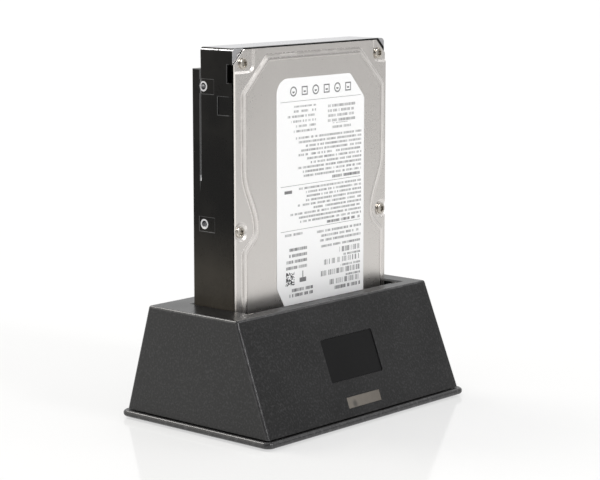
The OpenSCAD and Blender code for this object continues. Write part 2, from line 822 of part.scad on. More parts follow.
module dc_jack() {
    y1 = panel_y - panel_t - fit;
    color([0.08, 0.08, 0.08]) difference() {
        union() {
            translate([jack_x - jack_w / 2, y1 - jack_l, board_top_z]) cube([jack_w, jack_l, jack_h]);
            translate([jack_x, 0, jack_z]) rod_y(jack_nose_r, y1 - past, panel_y + 0.2);
        }
        translate([jack_x, 0, jack_z]) rod_y(jack_bore_r, y1 - jack_l + 2.4, panel_y + 1);
    }
}

module dc_pin() {
    color([0.8, 0.75, 0.6]) translate([jack_x, 0, jack_z])
        rod_y(1, panel_y - panel_t - fit - jack_l + 2.4, panel_y - 1);
}

module switch_body() {
    well_h = rocker_h + 0.4;
    color([0.09, 0.09, 0.09]) difference() {
        union() {
            translate([switch_x - bezel_w / 2, panel_y, switch_z - bezel_h / 2])
                cube([bezel_w, bezel_t, bezel_h]);
            translate([switch_x - switch_w / 2, panel_y - switch_l, switch_z - switch_h / 2])
                cube([switch_w, switch_l + past, switch_h]);
        }
        translate([switch_x - rocker_r - 0.3, rocker_y - 3.4, switch_z - well_h / 2])
            cube([2 * rocker_r + 0.6, bezel_t + 6, well_h]);
        translate([switch_x, rocker_y, switch_z]) cylinder(r = 0.8 + fit, h = rocker_h + 1.3, center = true);
    }
}

// The rocker stands at off, tilted about its own pivot stubs
module switch_rocker() {
    half = rocker_r - 0.1;
    color([0.12, 0.12, 0.12]) translate([switch_x, rocker_y, switch_z]) rotate([0, 0, -rocker_tilt]) {
        linear_extrude(rocker_h, center = true) intersection() {
            circle(rocker_r);
            polygon([[-half, -1.4], [half, -1.4], [half, 2.9], [0, 2], [-half, 2.9]]);
        }
        cylinder(r = 0.8, h = rocker_h + 1.2, center = true);
    }
}

// Drive

module cover_outline(inset) {
    e = cover_edge + inset;
    c = cover_cut + 0.4 * inset;
    polygon([
        [e, cover_foot + inset], [drive_w - e, cover_foot + inset],
        [drive_w - e, cover_top - inset - c], [drive_w - e - c, cover_top - inset],
        [e + c, cover_top - inset], [e, cover_top - inset - c]
    ]);
}

// Bay in a long side of the raised middle: it eases in from above, passes the screw and eases out below
module side_bay(swing) {
    rise = 26;
    drop = 10;
    steps = 10;
    polygon(concat(
        [[-past, side_screw_z + rise]],
        [for (i = [0 : steps])
            [swing * (1 - cos(180 * i / steps)) / 2, side_screw_z + rise * (1 - i / steps)]],
        [for (i = [1 : steps])
            [swing * (1 + cos(180 * i / steps)) / 2, side_screw_z - drop * i / steps]],
        [[-past, side_screw_z - drop]]
    ));
}

// Outline of the raised middle of the cover, with a bay around each screw at mid height
module plateau_outline() {
    x0 = 3.4;
    x1 = drive_w - 1.5;
    z0 = 18;
    z1 = drive_l - 3;
    slant_l = 16;
    slant_r = 17;
    slant_foot = 10;
    swing = 7.6;
    bend = 4;
    difference() {
        offset(r = bend) offset(delta = -bend) polygon([
            [x0 + slant_foot, z0], [x1 - slant_foot, z0], [x1, z0 + slant_foot],
            [x1, z1 - slant_r], [x1 - slant_r, z1],
            [x0 + slant_l, z1], [x0, z1 - slant_l], [x0, z0 + slant_foot]
        ]);
        translate([x0, 0]) side_bay(swing);
        translate([x1, 0]) mirror([1, 0]) side_bay(swing);
    }
}

// Outline of a corner screw pocket, rounded where it meets the middle of the cover
module corner_pocket(w, h) {
    r = 4;
    translate([0, r]) square([w, h - r]);
    square([w - r, r + 0.01]);
    translate([w - r, r]) circle(r);
}

// Cut of a screw pocket with a sloping wall
module pocket_cut(lip, pocket_y) {
    skin = 0.01;
    hull() {
        slab_y(-past, cover_rim_y + past) children();
        slab_y(pocket_y - skin, skin) offset(delta = -lip) children();
    }
}

module drive_cover() {
    pocket_y = cover_rim_y + pocket_drop;
    pocket_h = 10.4;
    pocket_l = 12.4;
    pocket_r = 9.5;
    round_r = 4.4;
    lip = 1.2;
    over = 2 * lip;
    color([0.74, 0.73, 0.71]) in_drive() difference() {
        union() {
            slab_y(cover_rim_y, cover_rim_t) cover_outline(0);
            slab_y(label_t, cover_raise + past) plateau_outline();
        }
        pocket_cut(lip, pocket_y) translate([-over, drive_l - 0.5 - pocket_h])
            corner_pocket(pocket_l + over, pocket_h + over);
        pocket_cut(lip, pocket_y) translate([drive_w + over, drive_l - 0.5 - pocket_h]) mirror([1, 0])
            corner_pocket(pocket_r + over, pocket_h + over);
        for (p = [for (i = [2 : 5]) cover_screw_places[i]])
            pocket_cut(lip, pocket_y) translate(p) circle(round_r);
        for (p = cover_screw_places) translate([p[0], 0, p[1]])
            rod_y(cover_screw_r + play, -past, cover_back + past);
    }
}

module drive_gasket() {
    color([0.05, 0.05, 0.05]) in_drive() slab_y(cover_back, gasket_t) difference() {
        cover_outline(0.6);
        cover_outline(2.2);
        for (p = cover_screw_places) translate(p) circle(cover_screw_r + play);
    }
}

module cover_screws() {
    pocket_y = cover_rim_y + pocket_drop;
    color([0.7, 0.7, 0.7]) in_drive() for (p = cover_screw_places) translate([p[0], pocket_y, p[1]])
        rotate([-90, 0, 0]) screw_up(cover_screw_r, cover_screw_l, cover_head_r, cover_head_h);
}

// Label sheet: one large round corner, one slanted corner and a shorter slant at its foot
module drive_label() {
    x0 = 25.5;
    x1 = 84.9;
    z0 = 29;
    z1 = 132.5;
    cut_w = 10;
    cut_h = 11.2;
    foot_w = 6.5;
    foot_h = 11;
    r = 3;
    big_r = 7;
    color([0.92, 0.92, 0.9]) in_drive() slab_y(0, label_t) intersection() {
        offset(r = r) offset(delta = -r) polygon([
            [x0 + foot_w, z0], [x1, z0], [x1, z1 - cut_h], [x1 - cut_w, z1], [x0, z1], [x0, z0 + foot_h]
        ]);
        union() {
            translate([x0, z0 - big_r]) round_rect(x1 - x0, z1 - z0 + big_r, big_r);
            translate([x1 - big_r, z0]) square([big_r, z1 - z0]);
        }
    }
}

// Left side of the casting: a notch, a shallow panel, pads round the holes and a groove
module side_marks() {
    depth = 0.5;
    notch_depth = 2.5;
    groove_z = 90;
    groove_w = 0.5;
    groove_lead = 0.2;
    translate([-past, 2.6, drive_l - 14.7]) cube([notch_depth + past, 2.9, 7.7]);
    translate([-past, 2.8, drive_l - 28.6]) cube([depth + past, 8.2, 7.8]);
    for (z = side_hole_z) translate([-past, 13.4, z - 3.1]) cube([depth * 0.7 + past, 9, 6.2]);
    translate([-past, back_step_y - groove_lead, groove_z]) cube([depth + past, groove_w, drive_l]);
}

module drive_base() {
    well_w = well_x1 - well_x0;
    color([0.06, 0.06, 0.065]) in_drive() difference() {
        slab_y(base_front, drive_t - base_front) round_rect(drive_w, drive_l, casting_r);
        translate([-past, back_step_y, back_step_z]) cube([drive_w + 2 * past, drive_t, drive_l]);
        slab_y(base_front - past, tub_y - base_front + past) {
            translate([spindle_x, spindle_z]) circle(tub_r, $fn = 96);
            translate([well_x0, well_z0]) round_rect(well_w, well_z1 - well_z0, well_r);
        }
        translate([spindle_x, 0, spindle_z]) rod_y(motor_r, tub_y - past, drive_t + past);
        translate([rail_w, pan_y, pcb_z0 - 0.4]) cube([drive_w - 2 * rail_w, drive_t, drive_l]);
        difference() {
            translate([rail_w, pcb_pan_y, pcb_z0 - 0.4])
                cube([drive_w - 2 * rail_w, drive_t, pcb_z1 - pcb_z0 + 0.8]);
            for (p = pcb_places) translate([p[0], 0, p[1]]) rod_y(pcb_boss_r, pcb_pan_y - past, pcb_y);
            translate([spindle_x, 0, spindle_z]) rod_y(motor_r + 1.6, pcb_pan_y - past, pan_y);
        }
        translate([plug_lx - plug_w / 2 - play, plug_ly - plug_d / 2 - play, -past])
            cube([plug_w + 2 * play, drive_t, plug_h + play + past]);
        for (z = side_hole_z) translate([0, side_hole_y, z]) {
            rod_x(mount_hole_r, -past, mount_hole_l);
            rod_x(mount_hole_r, drive_w - mount_hole_l, drive_w + past);
        }
        for (z = back_hole_z, x = [back_hole_x, drive_w - back_hole_x]) translate([x, 0, z])
            rod_y(mount_hole_r, drive_t - mount_hole_l, drive_t + past);
        for (p = cover_screw_places) translate([p[0], 0, p[1]])
            rod_y(cover_screw_r + fit, base_front - past, cover_rim_y + pocket_drop + cover_screw_l + 0.4);
        for (p = pcb_places) translate([p[0], 0, p[1]]) rod_y(small_screw_r + fit, pcb_pan_y - 1.2, drive_t);
        side_marks();
        translate([drive_w, 0, 0]) mirror([1, 0, 0]) side_marks();
    }
}

module drive_board() {
    color([0.1, 0.28, 0.2]) in_drive() slab_y(pcb_y, board_t) difference() {
        translate([rail_w + 0.4, pcb_z0]) square([drive_w - 2 * rail_w - 0.8, pcb_z1 - pcb_z0]);
        translate([plug_lx - plug_w / 2 - play, 0]) square([plug_w + 2 * play, plug_h + 2 * play]);
        translate([spindle_x, spindle_z]) circle(motor_r + 2);
        for (p = pcb_places) translate(p) circle(small_screw_r + play);
    }
}

module drive_board_screws() {
    color([0.65, 0.65, 0.66]) in_drive() for (p = pcb_places) translate([p[0], pcb_y + board_t, p[1]])
        rotate([90, 0, 0]) screw_up(small_screw_r, board_t + pcb_screw_bite, small_head_r, pcb_head_h);
}

module drive_chips() {
    control = 14;
    control_x = 53;
    memory_w = 10;
    memory_h = 18;
    memory_x = 28;
    low_z = 42;
    power = 9;
    power_at = [26, 66];
    color([0.09, 0.09, 0.09]) in_drive() translate([0, pcb_y - chip_t, 0]) {
        translate([control_x, 0, low_z]) cube([control, chip_t, control]);
        translate([memory_x, 0, low_z]) cube([memory_w, chip_t, memory_h]);
        translate([power_at[0], 0, power_at[1]]) cube([power, chip_t, power]);
    }
}

module drive_plug() {
    cavity_w = nose_w + 2 * nose_gap;
    cavity_d = nose_d + 2 * nose_gap;
    cavity_h = nose_h + 0.6;
    color([0.07, 0.07, 0.07]) in_drive() translate([plug_lx, plug_ly, 0]) {
        difference() {
            translate([-plug_w / 2, -plug_d / 2, 0]) cube([plug_w, plug_d, plug_h]);
            translate([-cavity_w / 2, -cavity_d / 2, -past]) cube([cavity_w, cavity_d, cavity_h + past]);
        }
        for (s = [[data_x, data_w], [power_x, power_w]])
            translate([s[0] - s[1] / 2, -tongue_t / 2, cavity_h - tongue_l])
                cube([s[1], tongue_t, tongue_l + past]);
    }
}

module drive_plug_contacts() {
    thin = 0.08;
    color([0.85, 0.7, 0.35]) in_drive() translate([plug_lx, plug_ly + tongue_t / 2, 1]) {
        contact_row(7, data_x) cube([contact_w, thin, tongue_l - 0.6]);
        contact_row(15, power_x) cube([contact_w, thin, tongue_l - 0.6]);
    }
}

module at_spindle() {
    in_drive() translate([spindle_x, 0, spindle_z]) children();
}

module at_clamp_screws() {
    for (a = [0 : 60 : 300]) rotate([0, a, 0]) translate([clamp_screw_at, 0, 0]) children();
}

module spindle_motor() {
    color([0.6, 0.6, 0.6]) at_spindle() {
        rod_y(motor_r - fit, tub_y, pan_y);
        rod_y(motor_boss_r, hub_y1 + hub_rise, tub_y + past);
        rod_y(shaft_r, hub_y0 + shaft_top, tub_y + past);
    }
}

module spindle_hub() {
    color([0.7, 0.7, 0.72]) at_spindle() difference() {
        union() {
            rod_y(hub_r, hub_y0, hub_y1);
            rod_y(stack_r, platter_y[1] + platter_t, hub_y1 - hub_flange);
        }
        rod_y(shaft_r + fit, hub_y0 + hub_roof, hub_y1 + past);
        at_clamp_screws() rod_y(clamp_screw_r + fit, hub_y0 - past, hub_y0 + clamp_screw_l);
    }
}

module platters() {
    color([0.8, 0.8, 0.8]) at_spindle() for (y = platter_y) difference() {
        rod_y(platter_r, y, y + platter_t, $fn = 96);
        rod_y(hub_r + fit, y - past, y + platter_t + past);
    }
}

module platter_spacer() {
    color([0.6, 0.6, 0.62]) at_spindle() difference() {
        rod_y(stack_r, platter_y[0] + platter_t, platter_y[1]);
        rod_y(hub_r + fit, platter_y[0], platter_y[1] + past);
    }
}

// The clamp is a cap on the hub whose rim presses on the first platter
module platter_clamp() {
    color([0.65, 0.65, 0.67]) at_spindle() difference() {
        rod_y(stack_r, hub_y0 - clamp_t, platter_y[0]);
        rod_y(hub_r + fit, hub_y0, platter_y[0] + past);
        at_clamp_screws() rod_y(clamp_screw_r + 2 * fit, hub_y0 - clamp_t - past, hub_y0 + past);
        rod_y(clamp_bore_r, hub_y0 - clamp_t - past, hub_y0 + past);
    }
}

module clamp_screws() {
    color([0.5, 0.5, 0.52]) at_spindle() at_clamp_screws() translate([0, hub_y0 - clamp_t, 0])
        rotate([-90, 0, 0]) screw_up(clamp_screw_r, clamp_screw_l, clamp_head_r, clamp_head_h);
}

module at_pivot() {
    in_drive() translate([pivot_x, 0, pivot_z]) children();
}

module pivot_post() {
    color([0.65, 0.65, 0.67]) at_pivot() {
        rod_y(post_r, arm_y[0] - post_rise, tub_y);
        rod_y(sleeve_r - 1, arm_y[2] + arm_t + sleeve_gap, tub_y);
    }
}

module arm_shape(len, w0, w1) {
    rotate(arm_aim) polygon([[0, -w0 / 2], [len, -w1 / 2], [len, w1 / 2], [0, w0 / 2]]);
}

function arc(r, a0, a1, n = 16) = [for (i = [0 : n]) let (a = a0 + (a1 - a0) * i / n) r * [cos(a), sin(a)]];

module sector(r0, r1, a0, a1) {
    polygon(concat(arc(r0, a0, a1), arc(r1, a1, a0)));
}

module actuator_arm() {
    color([0.7, 0.7, 0.7]) at_pivot() difference() {
        union() {
            rod_y(sleeve_r, arm_y[0], arm_y[2] + arm_t);
            for (y = arm_y) slab_y(y, arm_t) arm_shape(arm_l, arm_root_w, arm_tip_w);
            slab_y(arm_y[1], arm_t) rotate(arm_aim + 180)
                difference() {
                    sector(sleeve_r - 1, coil_out, -coil_half, coil_half);
                    sector(coil_in + coil_rim, coil_out - coil_rim,
                        -coil_half + coil_edge - 0.6, coil_half - coil_edge + 0.6);
                }
        }
        rod_y(post_r + fit, 0, tub_y);
    }
}

module voice_coil() {
    color([0.72, 0.42, 0.2]) at_pivot() slab_y(arm_y[1], arm_t) rotate(arm_aim + 180) difference() {
        sector(coil_in + coil_rim + play, coil_out - coil_rim - play,
            -coil_half + coil_edge, coil_half - coil_edge);
        sector(coil_in + coil_rim + coil_w, coil_out - coil_rim - coil_w,
            -coil_half + coil_edge + coil_turn, coil_half - coil_edge - coil_turn);
    }
}

// Spring strips from the arms to the heads, one for each platter face
module head_sliders() {
    strip_t = 0.3;
    slider = 1.4;
    gap = 0.15;
    faces = [
        [arm_y[0] + arm_t, platter_y[0] - gap], [arm_y[1], platter_y[0] + platter_t + gap],
        [arm_y[1] + arm_t, platter_y[1] - gap], [arm_y[2], platter_y[1] + platter_t + gap]
    ];
    color([0.6, 0.6, 0.6]) at_pivot() for (f = faces) {
        down = f[1] > f[0] ? 1 : -1;
        strip_y = down > 0 ? f[0] : f[0] - strip_t;
        slab_y(strip_y, strip_t) rotate(arm_aim) translate([arm_l - strip_lap, -strip_w / 2])
            square([head_l - arm_l + strip_lap + strip_end, strip_w]);
        slab_y(min(strip_y, f[1]), max(strip_y + strip_t, f[1]) - min(strip_y, f[1]))
            rotate(arm_aim) translate([head_l - slider / 2, -slider / 2]) square(slider);
    }
}

yoke_front_y = arm_y[1] - coil_gap - magnet_t - yoke_t;
yoke_back_y = arm_y[1] + arm_t + coil_gap + magnet_t;

module magnet_yokes() {
    color([0.6, 0.6, 0.6]) at_pivot() {
        for (y = [yoke_front_y, yoke_back_y]) slab_y(y, yoke_t) sector(coil_in, coil_out, yoke_a0, yoke_a1);
        for (a = [yoke_a0 + 4, yoke_a1 - 4]) rotate([0, -a, 0]) translate([yoke_post_at, 0, 0])
            rod_y(yoke_post_r, yoke_front_y + past, tub_y);
    }
}

module magnets() {
    color([0.5, 0.5, 0.52]) at_pivot() for (y = [yoke_front_y + yoke_t, yoke_back_y - magnet_t])
        slab_y(y, magnet_t) sector(coil_in + 1, coil_out - 1, yoke_a0 + 9, yoke_a1 - 9);
}

module park_ramp() {
    color([0.9, 0.9, 0.85]) at_pivot() slab_y(tub_y - ramp_d, ramp_d) rotate(arm_aim)
        translate([head_l - ramp_w / 3, ramp_h + play]) square([ramp_w, ramp_h]);
}

upper_shell();
base_plate();
rubber_feet();
base_screws();
badge_plate();
status_window();
drive_cradle();
cradle_screws();
flap_door();
flap_pin();
flap_springs();
main_board();
board_screws();
sata_receptacle();
sata_contacts();
bridge_chip();
flash_chip();
crystal();
capacitors();
inductor();
status_led();
usb_socket();
usb_tongue();
dc_jack();
dc_pin();
switch_body();
switch_rocker();
drive_base();
drive_gasket();
drive_cover();
cover_screws();
drive_label();
drive_board();
drive_board_screws();
drive_chips();
drive_plug();
drive_plug_contacts();
spindle_motor();
spindle_hub();
platters();
platter_spacer();
platter_clamp();
clamp_screws();
pivot_post();
actuator_arm();
voice_coil();
head_sliders();
magnet_yokes();
magnets();
park_ramp();
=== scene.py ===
import json
import math

import bmesh
import bpy
from mathutils import Matrix, Vector

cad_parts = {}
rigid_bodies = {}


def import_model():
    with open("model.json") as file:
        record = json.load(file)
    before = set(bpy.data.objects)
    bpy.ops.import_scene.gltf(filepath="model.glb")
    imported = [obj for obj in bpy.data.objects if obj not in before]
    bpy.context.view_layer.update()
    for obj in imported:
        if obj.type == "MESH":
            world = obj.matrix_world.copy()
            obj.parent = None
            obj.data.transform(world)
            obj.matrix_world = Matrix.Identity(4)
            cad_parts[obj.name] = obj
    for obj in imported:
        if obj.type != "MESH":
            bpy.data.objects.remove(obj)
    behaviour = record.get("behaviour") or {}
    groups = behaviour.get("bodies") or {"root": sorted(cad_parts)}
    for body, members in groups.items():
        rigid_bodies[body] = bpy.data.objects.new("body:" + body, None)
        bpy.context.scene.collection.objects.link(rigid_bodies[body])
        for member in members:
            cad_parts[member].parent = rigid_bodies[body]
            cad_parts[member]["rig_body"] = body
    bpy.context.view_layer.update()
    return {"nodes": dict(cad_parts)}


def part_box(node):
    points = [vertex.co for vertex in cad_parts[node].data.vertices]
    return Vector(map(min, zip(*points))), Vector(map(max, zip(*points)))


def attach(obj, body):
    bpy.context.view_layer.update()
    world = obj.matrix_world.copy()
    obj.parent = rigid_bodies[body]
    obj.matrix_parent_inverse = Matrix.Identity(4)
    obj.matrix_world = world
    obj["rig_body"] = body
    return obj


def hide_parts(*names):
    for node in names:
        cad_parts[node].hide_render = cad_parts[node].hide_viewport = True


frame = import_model()
nodes = frame["nodes"]
scene = bpy.context.scene
mm = 0.001
tiny = 1e-7  # metres, points closer than this are one point
drive = {"at": Vector((-47.9, -8.4, 18.2)) * mm, "wide": 101.6, "tall": 147.0}  # docked drive
print("frame loaded:", len(nodes), "nodes")


# Camera, lights, floor

shot = {
    "at": (-657.7, -585.0, 221.1), "azimuth": -48.45, "elevation": 9.32, "lens": 118.88, "sensor": 36.0,
    "clip": (0.05, 60.0),
}


def heading(azimuth, elevation):
    turn, lift = math.radians(azimuth), math.radians(elevation)
    return Vector((math.sin(turn) * math.cos(lift), -math.cos(turn) * math.cos(lift), math.sin(lift)))


def aim(thing, azimuth, elevation):
    thing.rotation_mode = "QUATERNION"
    thing.rotation_quaternion = (-heading(azimuth, elevation)).to_track_quat("-Z", "Y")


def makeCamera():
    camera = bpy.data.objects.new("shot", bpy.data.cameras.new("shot"))
    scene.collection.objects.link(camera)
    camera.location = Vector(shot["at"]) * mm
    aim(camera, shot["azimuth"], shot["elevation"])
    camera.data.sensor_width = shot["sensor"]
    camera.data.lens = shot["lens"]
    camera.data.clip_start, camera.data.clip_end = shot["clip"]
    scene.camera = camera


class Wire:  # a node socket that takes part in sums
    def __init__(self, tree, socket=None):
        self.tree = tree
        self.socket = socket

    def feed(self, socket, value):
        if isinstance(value, Wire):
            self.tree.links.new(value.socket, socket)
        elif socket.type == "RGBA" and len(value) == 3:
            socket.default_value = (*value, 1.0)
        else:
            socket.default_value = value

    def add(self, kind, settings=None, inputs=None, out=0):
        node = self.tree.nodes.new("ShaderNode" + kind)
        for key, value in (settings or {}).items():
            setattr(node, key, value)
        for key, value in (inputs or {}).items():
            self.feed(node.inputs[key], value)
        return Wire(self.tree, node.outputs[out])

    def maths(self, operation, *values):
        return self.add("Math", {"operation": operation}, dict(enumerate(values)))

    def __add__(self, other):
        return self.maths("ADD", self, other)

    def __sub__(self, other):
        return self.maths("SUBTRACT", self, other)

    def __rsub__(self, other):
        return self.maths("SUBTRACT", other, self)

    def __mul__(self, other):
        return self.maths("MULTIPLY", self, other)

    def __truediv__(self, other):
        return self.maths("DIVIDE", self, other)

    def __lt__(self, other):
        return self.maths("LESS_THAN", self, other)

    def __gt__(self, other):
        return self.maths("GREATER_THAN", self, other)

    __radd__ = __add__
    __rmul__ = __mul__


def most(first, second):
    return first.maths("MAXIMUM", first, second)


def whole(value):
    return value.maths("FLOOR", value)


def soft(value, low, high):
    ends = {"Value": value, "From Min": low, "From Max": high}
    return value.add("MapRange", {"interpolation_type": "SMOOTHSTEP"}, ends)


def blendTone(share, first, second):
    return share.add("Mix", {"data_type": "RGBA"}, {0: share, 6: first, 7: second}, 2)


def cloud(place, size, detail=2.0):  # size of a blotch in mm
    return place.add("TexNoise", None, {"Vector": place, "Scale": 1 / (size * mm), "Detail": detail})


def swing(noise, share):  # noise about its middle
    return (noise - 0.5) * share


def stretched(place, scale):
    return place.add("Mapping", None, {"Vector": place, "Scale": scale})


def relief(height, depth):  # depth in mm
    return height.add("Bump", None, {"Strength": 1.0, "Distance": depth * mm, "Height": height})


def axes(place):
    return [place.add("SeparateXYZ", None, {0: place}, out) for out in range(3)]


def between(value, low, high):
    return (value > low) * (value < high)


def reach(first, second):  # length of a flat offset
    square = first * first + second * second
    return square.maths("SQRT", square)


def marked(place, layer):  # share stored on the faces of a piece
    return place.add("Attribute", {"attribute_name": layer}, out="Fac")


def startFinish(name):
    material = bpy.data.materials.new(name)
    material.use_nodes = True
    shader = material.node_tree.nodes["Principled BSDF"]
    place = Wire(material.node_tree).add("TexCoord", out="Object")
    return material, shader, place


def dress(place, shader, sockets):
    for name, value in sockets.items():
        place.feed(shader.inputs[name], value)


white = (1.0, 1.0, 1.0)
warm = (1.0, 0.97, 0.92)
studio = {
    "ambient": 0.73, "floorTone": (0.92, 0.92, 0.91), "floorSize": 20.0, "floorLift": 0.56,
    "floorRough": 0.07, "floorShine": 0.40, "smudge": 60.0, "smudgeRough": 0.05,
    # painted shade on the far end of the table, met by reflections only: tone, metres where it starts and
    # is full
    "farPaintedShadeTone": (0.74, 0.74, 0.74), "farPaintedShadeFrom": 0.15, "farPaintedShadeTo": 0.85,
    # dark side of the room, met by reflections only: azimuth, elevation, where it starts and is full, depth
    "darkSide": (-22.0, 17.0, 105.0, 45.0, 0.9),
    # lamps: azimuth, elevation, width of the source in degrees, strength, tint
    "lamps": {
        "left box": (-126.0, 16.0, 40.0, 0.25, (1.0, 0.95, 0.82)),
        "low box": (17.0, 11.0, 42.0, 0.34, white),
        "front box": (6.0, 31.0, 10.0, 0.70, white),
        "right box": (49.0, 31.0, 16.0, 0.13, white),
        "top box": (-168.0, 49.0, 22.0, 0.95, warm),
        "edge strip": (-14.0, 33.0, 10.0, 1.0, white),
        "rim strip": (-168.0, 49.0, 34.0, 0.30, warm),
    },
    "shineOnly": ("edge strip", "rim strip"),  # lamps met by reflections only
}


def lightPath(wire, *rays):
    path = [wire.add("LightPath", out=name) for name in rays]
    for other in path[1:]:
        path[0] = most(path[0], other)
    return path[0]


def seenDirectly(wire):
    return lightPath(wire, "Is Camera Ray", "Is Glossy Ray", "Is Transmission Ray")


def makeWorld():
    world = bpy.data.worlds.new("studio")
    scene.world = world
    world.use_nodes = True
    wire = Wire(world.node_tree)
    azimuth, elevation, starts, full, depth = studio["darkSide"]
    toward = wire.add("TexCoord", out="Generated")
    pair = {0: toward, 1: heading(azimuth, elevation)}
    near = wire.add("VectorMath", {"operation": "DOT_PRODUCT"}, pair, "Value")
    dark = soft(near, math.cos(math.radians(starts)), math.cos(math.radians(full))) * depth
    dark = dark * lightPath(wire, "Is Glossy Ray")
    sky = world.node_tree.nodes["Background"]
    wire.feed(sky.inputs["Color"], white)
    shown = seenDirectly(wire) * (1 - studio["ambient"] - dark)
    wire.feed(sky.inputs["Strength"], studio["ambient"] + shown)


def makeStudio():
    makeWorld()
    for name, (azimuth, elevation, width, strength, tint) in studio["lamps"].items():
        lamp = bpy.data.lights.new(name, "SUN")
        lamp.energy = strength
        lamp.color = tint
        lamp.angle = math.radians(width)
        source = bpy.data.objects.new(name, lamp)
        scene.collection.objects.link(source)
        source.visible_diffuse = name not in studio["shineOnly"]
        aim(source, azimuth, elevation)

    build = bmesh.new()
    bmesh.ops.create_grid(build, x_segments=2, y_segments=2, size=studio["floorSize"])
    mesh = bpy.data.meshes.new("table top")
    build.to_mesh(mesh)
    build.free()
    floor = bpy.data.objects.new("table_top", mesh)
    scene.collection.objects.link(floor)
    material, shader, place = startFinish("table top")
    smudge = cloud(place, studio["smudge"])
    # painted shade on the far table, seen only in reflections
    far = soft(axes(place)[1] * -1.0, studio["farPaintedShadeFrom"], studio["farPaintedShadeTo"])
    far = far * lightPath(place, "Is Glossy Ray")
    dress(place, shader, {
        "Base Color": blendTone(far, studio["floorTone"], studio["farPaintedShadeTone"]),
        "Roughness": studio["floorRough"] + smudge * studio["smudgeRough"],
        "Specular IOR Level": studio["floorShine"],
    })
    glow = place.add("Emission", None, {"Color": white, "Strength": 1.0})
    lifted = place.add("MixShader", None, {
        0: seenDirectly(place) * (1 - far) * studio["floorLift"],
        1: Wire(place.tree, shader.outputs[0]),
        2: glow,
    })
    place.feed(material.node_tree.nodes["Material Output"].inputs["Surface"], lifted)
    mesh.materials.append(material)


makeCamera()
makeStudio()
print("camera, lights and table made")


# Finishes

# grain and depth in mm, fleck: where the noise turns from tone to pale
plastics = {
    "shell plastic": {
        "tone": (0.0030, 0.0030, 0.0031), "pale": (0.0305, 0.0302, 0.0313), "rough": 0.32, "shine": 0.41,
        "grain": 0.95, "depth": 0.06, "fleck": (0.45, 0.75),
    },
    "slot plastic": {
        "tone": (0.010, 0.010, 0.011), "pale": (0.022, 0.022, 0.023), "rough": 0.42, "shine": 0.3,
        "grain": 0.6, "depth": 0.012, "fleck": (0.3, 0.7),
    },
    "badge plastic": {
        "tone": (0.005, 0.005, 0.0053), "pale": (0.008, 0.008, 0.0085), "rough": 0.34, "shine": 0.15,
        "grain": 0.3, "depth": 0.004, "fleck": (0.3, 0.7),
    },
    "connector plastic": {
        "tone": (0.010, 0.010, 0.011), "pale": (0.020, 0.020, 0.020), "rough": 0.45, "shine": 0.35,
        "grain": 0.5, "depth": 0.01, "fleck": (0.3, 0.7),
    },
    "tongue plastic": {
        "tone": (0.70, 0.69, 0.65), "pale": (0.80, 0.79, 0.76), "rough": 0.42, "shine": 0.5,
        "grain": 0.8, "depth": 0.01, "fleck": (0.3, 0.7),
    },
    "mark paint": {
        "tone": (0.66, 0.66, 0.65), "pale": (0.80, 0.80, 0.79), "rough": 0.5, "shine": 0.4,
        "grain": 0.3, "depth": 0.006, "fleck": (0.3, 0.7),
    },
    "chip plastic": {
        "tone": (0.013, 0.013, 0.014), "pale": (0.026, 0.026, 0.027), "rough": 0.55, "shine": 0.4,
        "grain": 0.25, "depth": 0.012, "fleck": (0.3, 0.7),
    },
    "gasket rubber": {
        "tone": (0.005, 0.005, 0.005), "pale": (0.010, 0.010, 0.010), "rough": 0.8, "shine": 0.2,
        "grain": 0.4, "depth": 0.02, "fleck": (0.3, 0.7),
    },
    "foot rubber": {
        "tone": (0.010, 0.010, 0.010), "pale": (0.022, 0.022, 0.021), "rough": 0.78, "shine": 0.3,
        "grain": 0.5, "depth": 0.03, "fleck": (0.3, 0.7),
    },
}


# shared by all plastics: flow marks, grain, and rubbed patches on rounded edges, lighter in tone: wear and
# a painted highlight
moulding = {
    "flow": 26.0, "flowShare": 0.3, "flowRough": 0.12, "grainShare": 0.7, "grainRough": 0.06,
    "patch": 2.5, "patchFrom": (0.45, 0.7), "patchLeast": 0.5, "rub": 0.7, "rubAndHighlightTone": 3.0, "rubRough": 0.12,
}


def mouldedPlastic(name):
    look = plastics[name]
    material, shader, place = startFinish(name)
    grain = cloud(place, look["grain"])
    flow = cloud(place, moulding["flow"])
    worn = marked(place, "edge")
    patch = soft(cloud(place, moulding["patch"]), *moulding["patchFrom"])
    rub = worn * (patch * (1 - moulding["patchLeast"]) + moulding["patchLeast"])
    fleck = soft(grain, *look["fleck"]) * moulding["grainShare"] + flow * moulding["flowShare"]
    tone = blendTone(fleck, look["tone"], look["pale"])
    # rounded edges turn lighter: rubbed wear and a painted highlight
    rubbedAndHighlight = tuple(moulding["rubAndHighlightTone"] * part for part in look["pale"])
    rough = swing(flow, moulding["flowRough"]) + swing(grain, moulding["grainRough"])
    dress(place, shader, {
        "Base Color": blendTone(rub * moulding["rub"], tone, rubbedAndHighlight),
        "Roughness": look["rough"] + rough - worn * moulding["rubRough"],
        "Specular IOR Level": look["shine"],
        "Normal": relief(grain * (1 - worn), look["depth"]),
    })
    return material


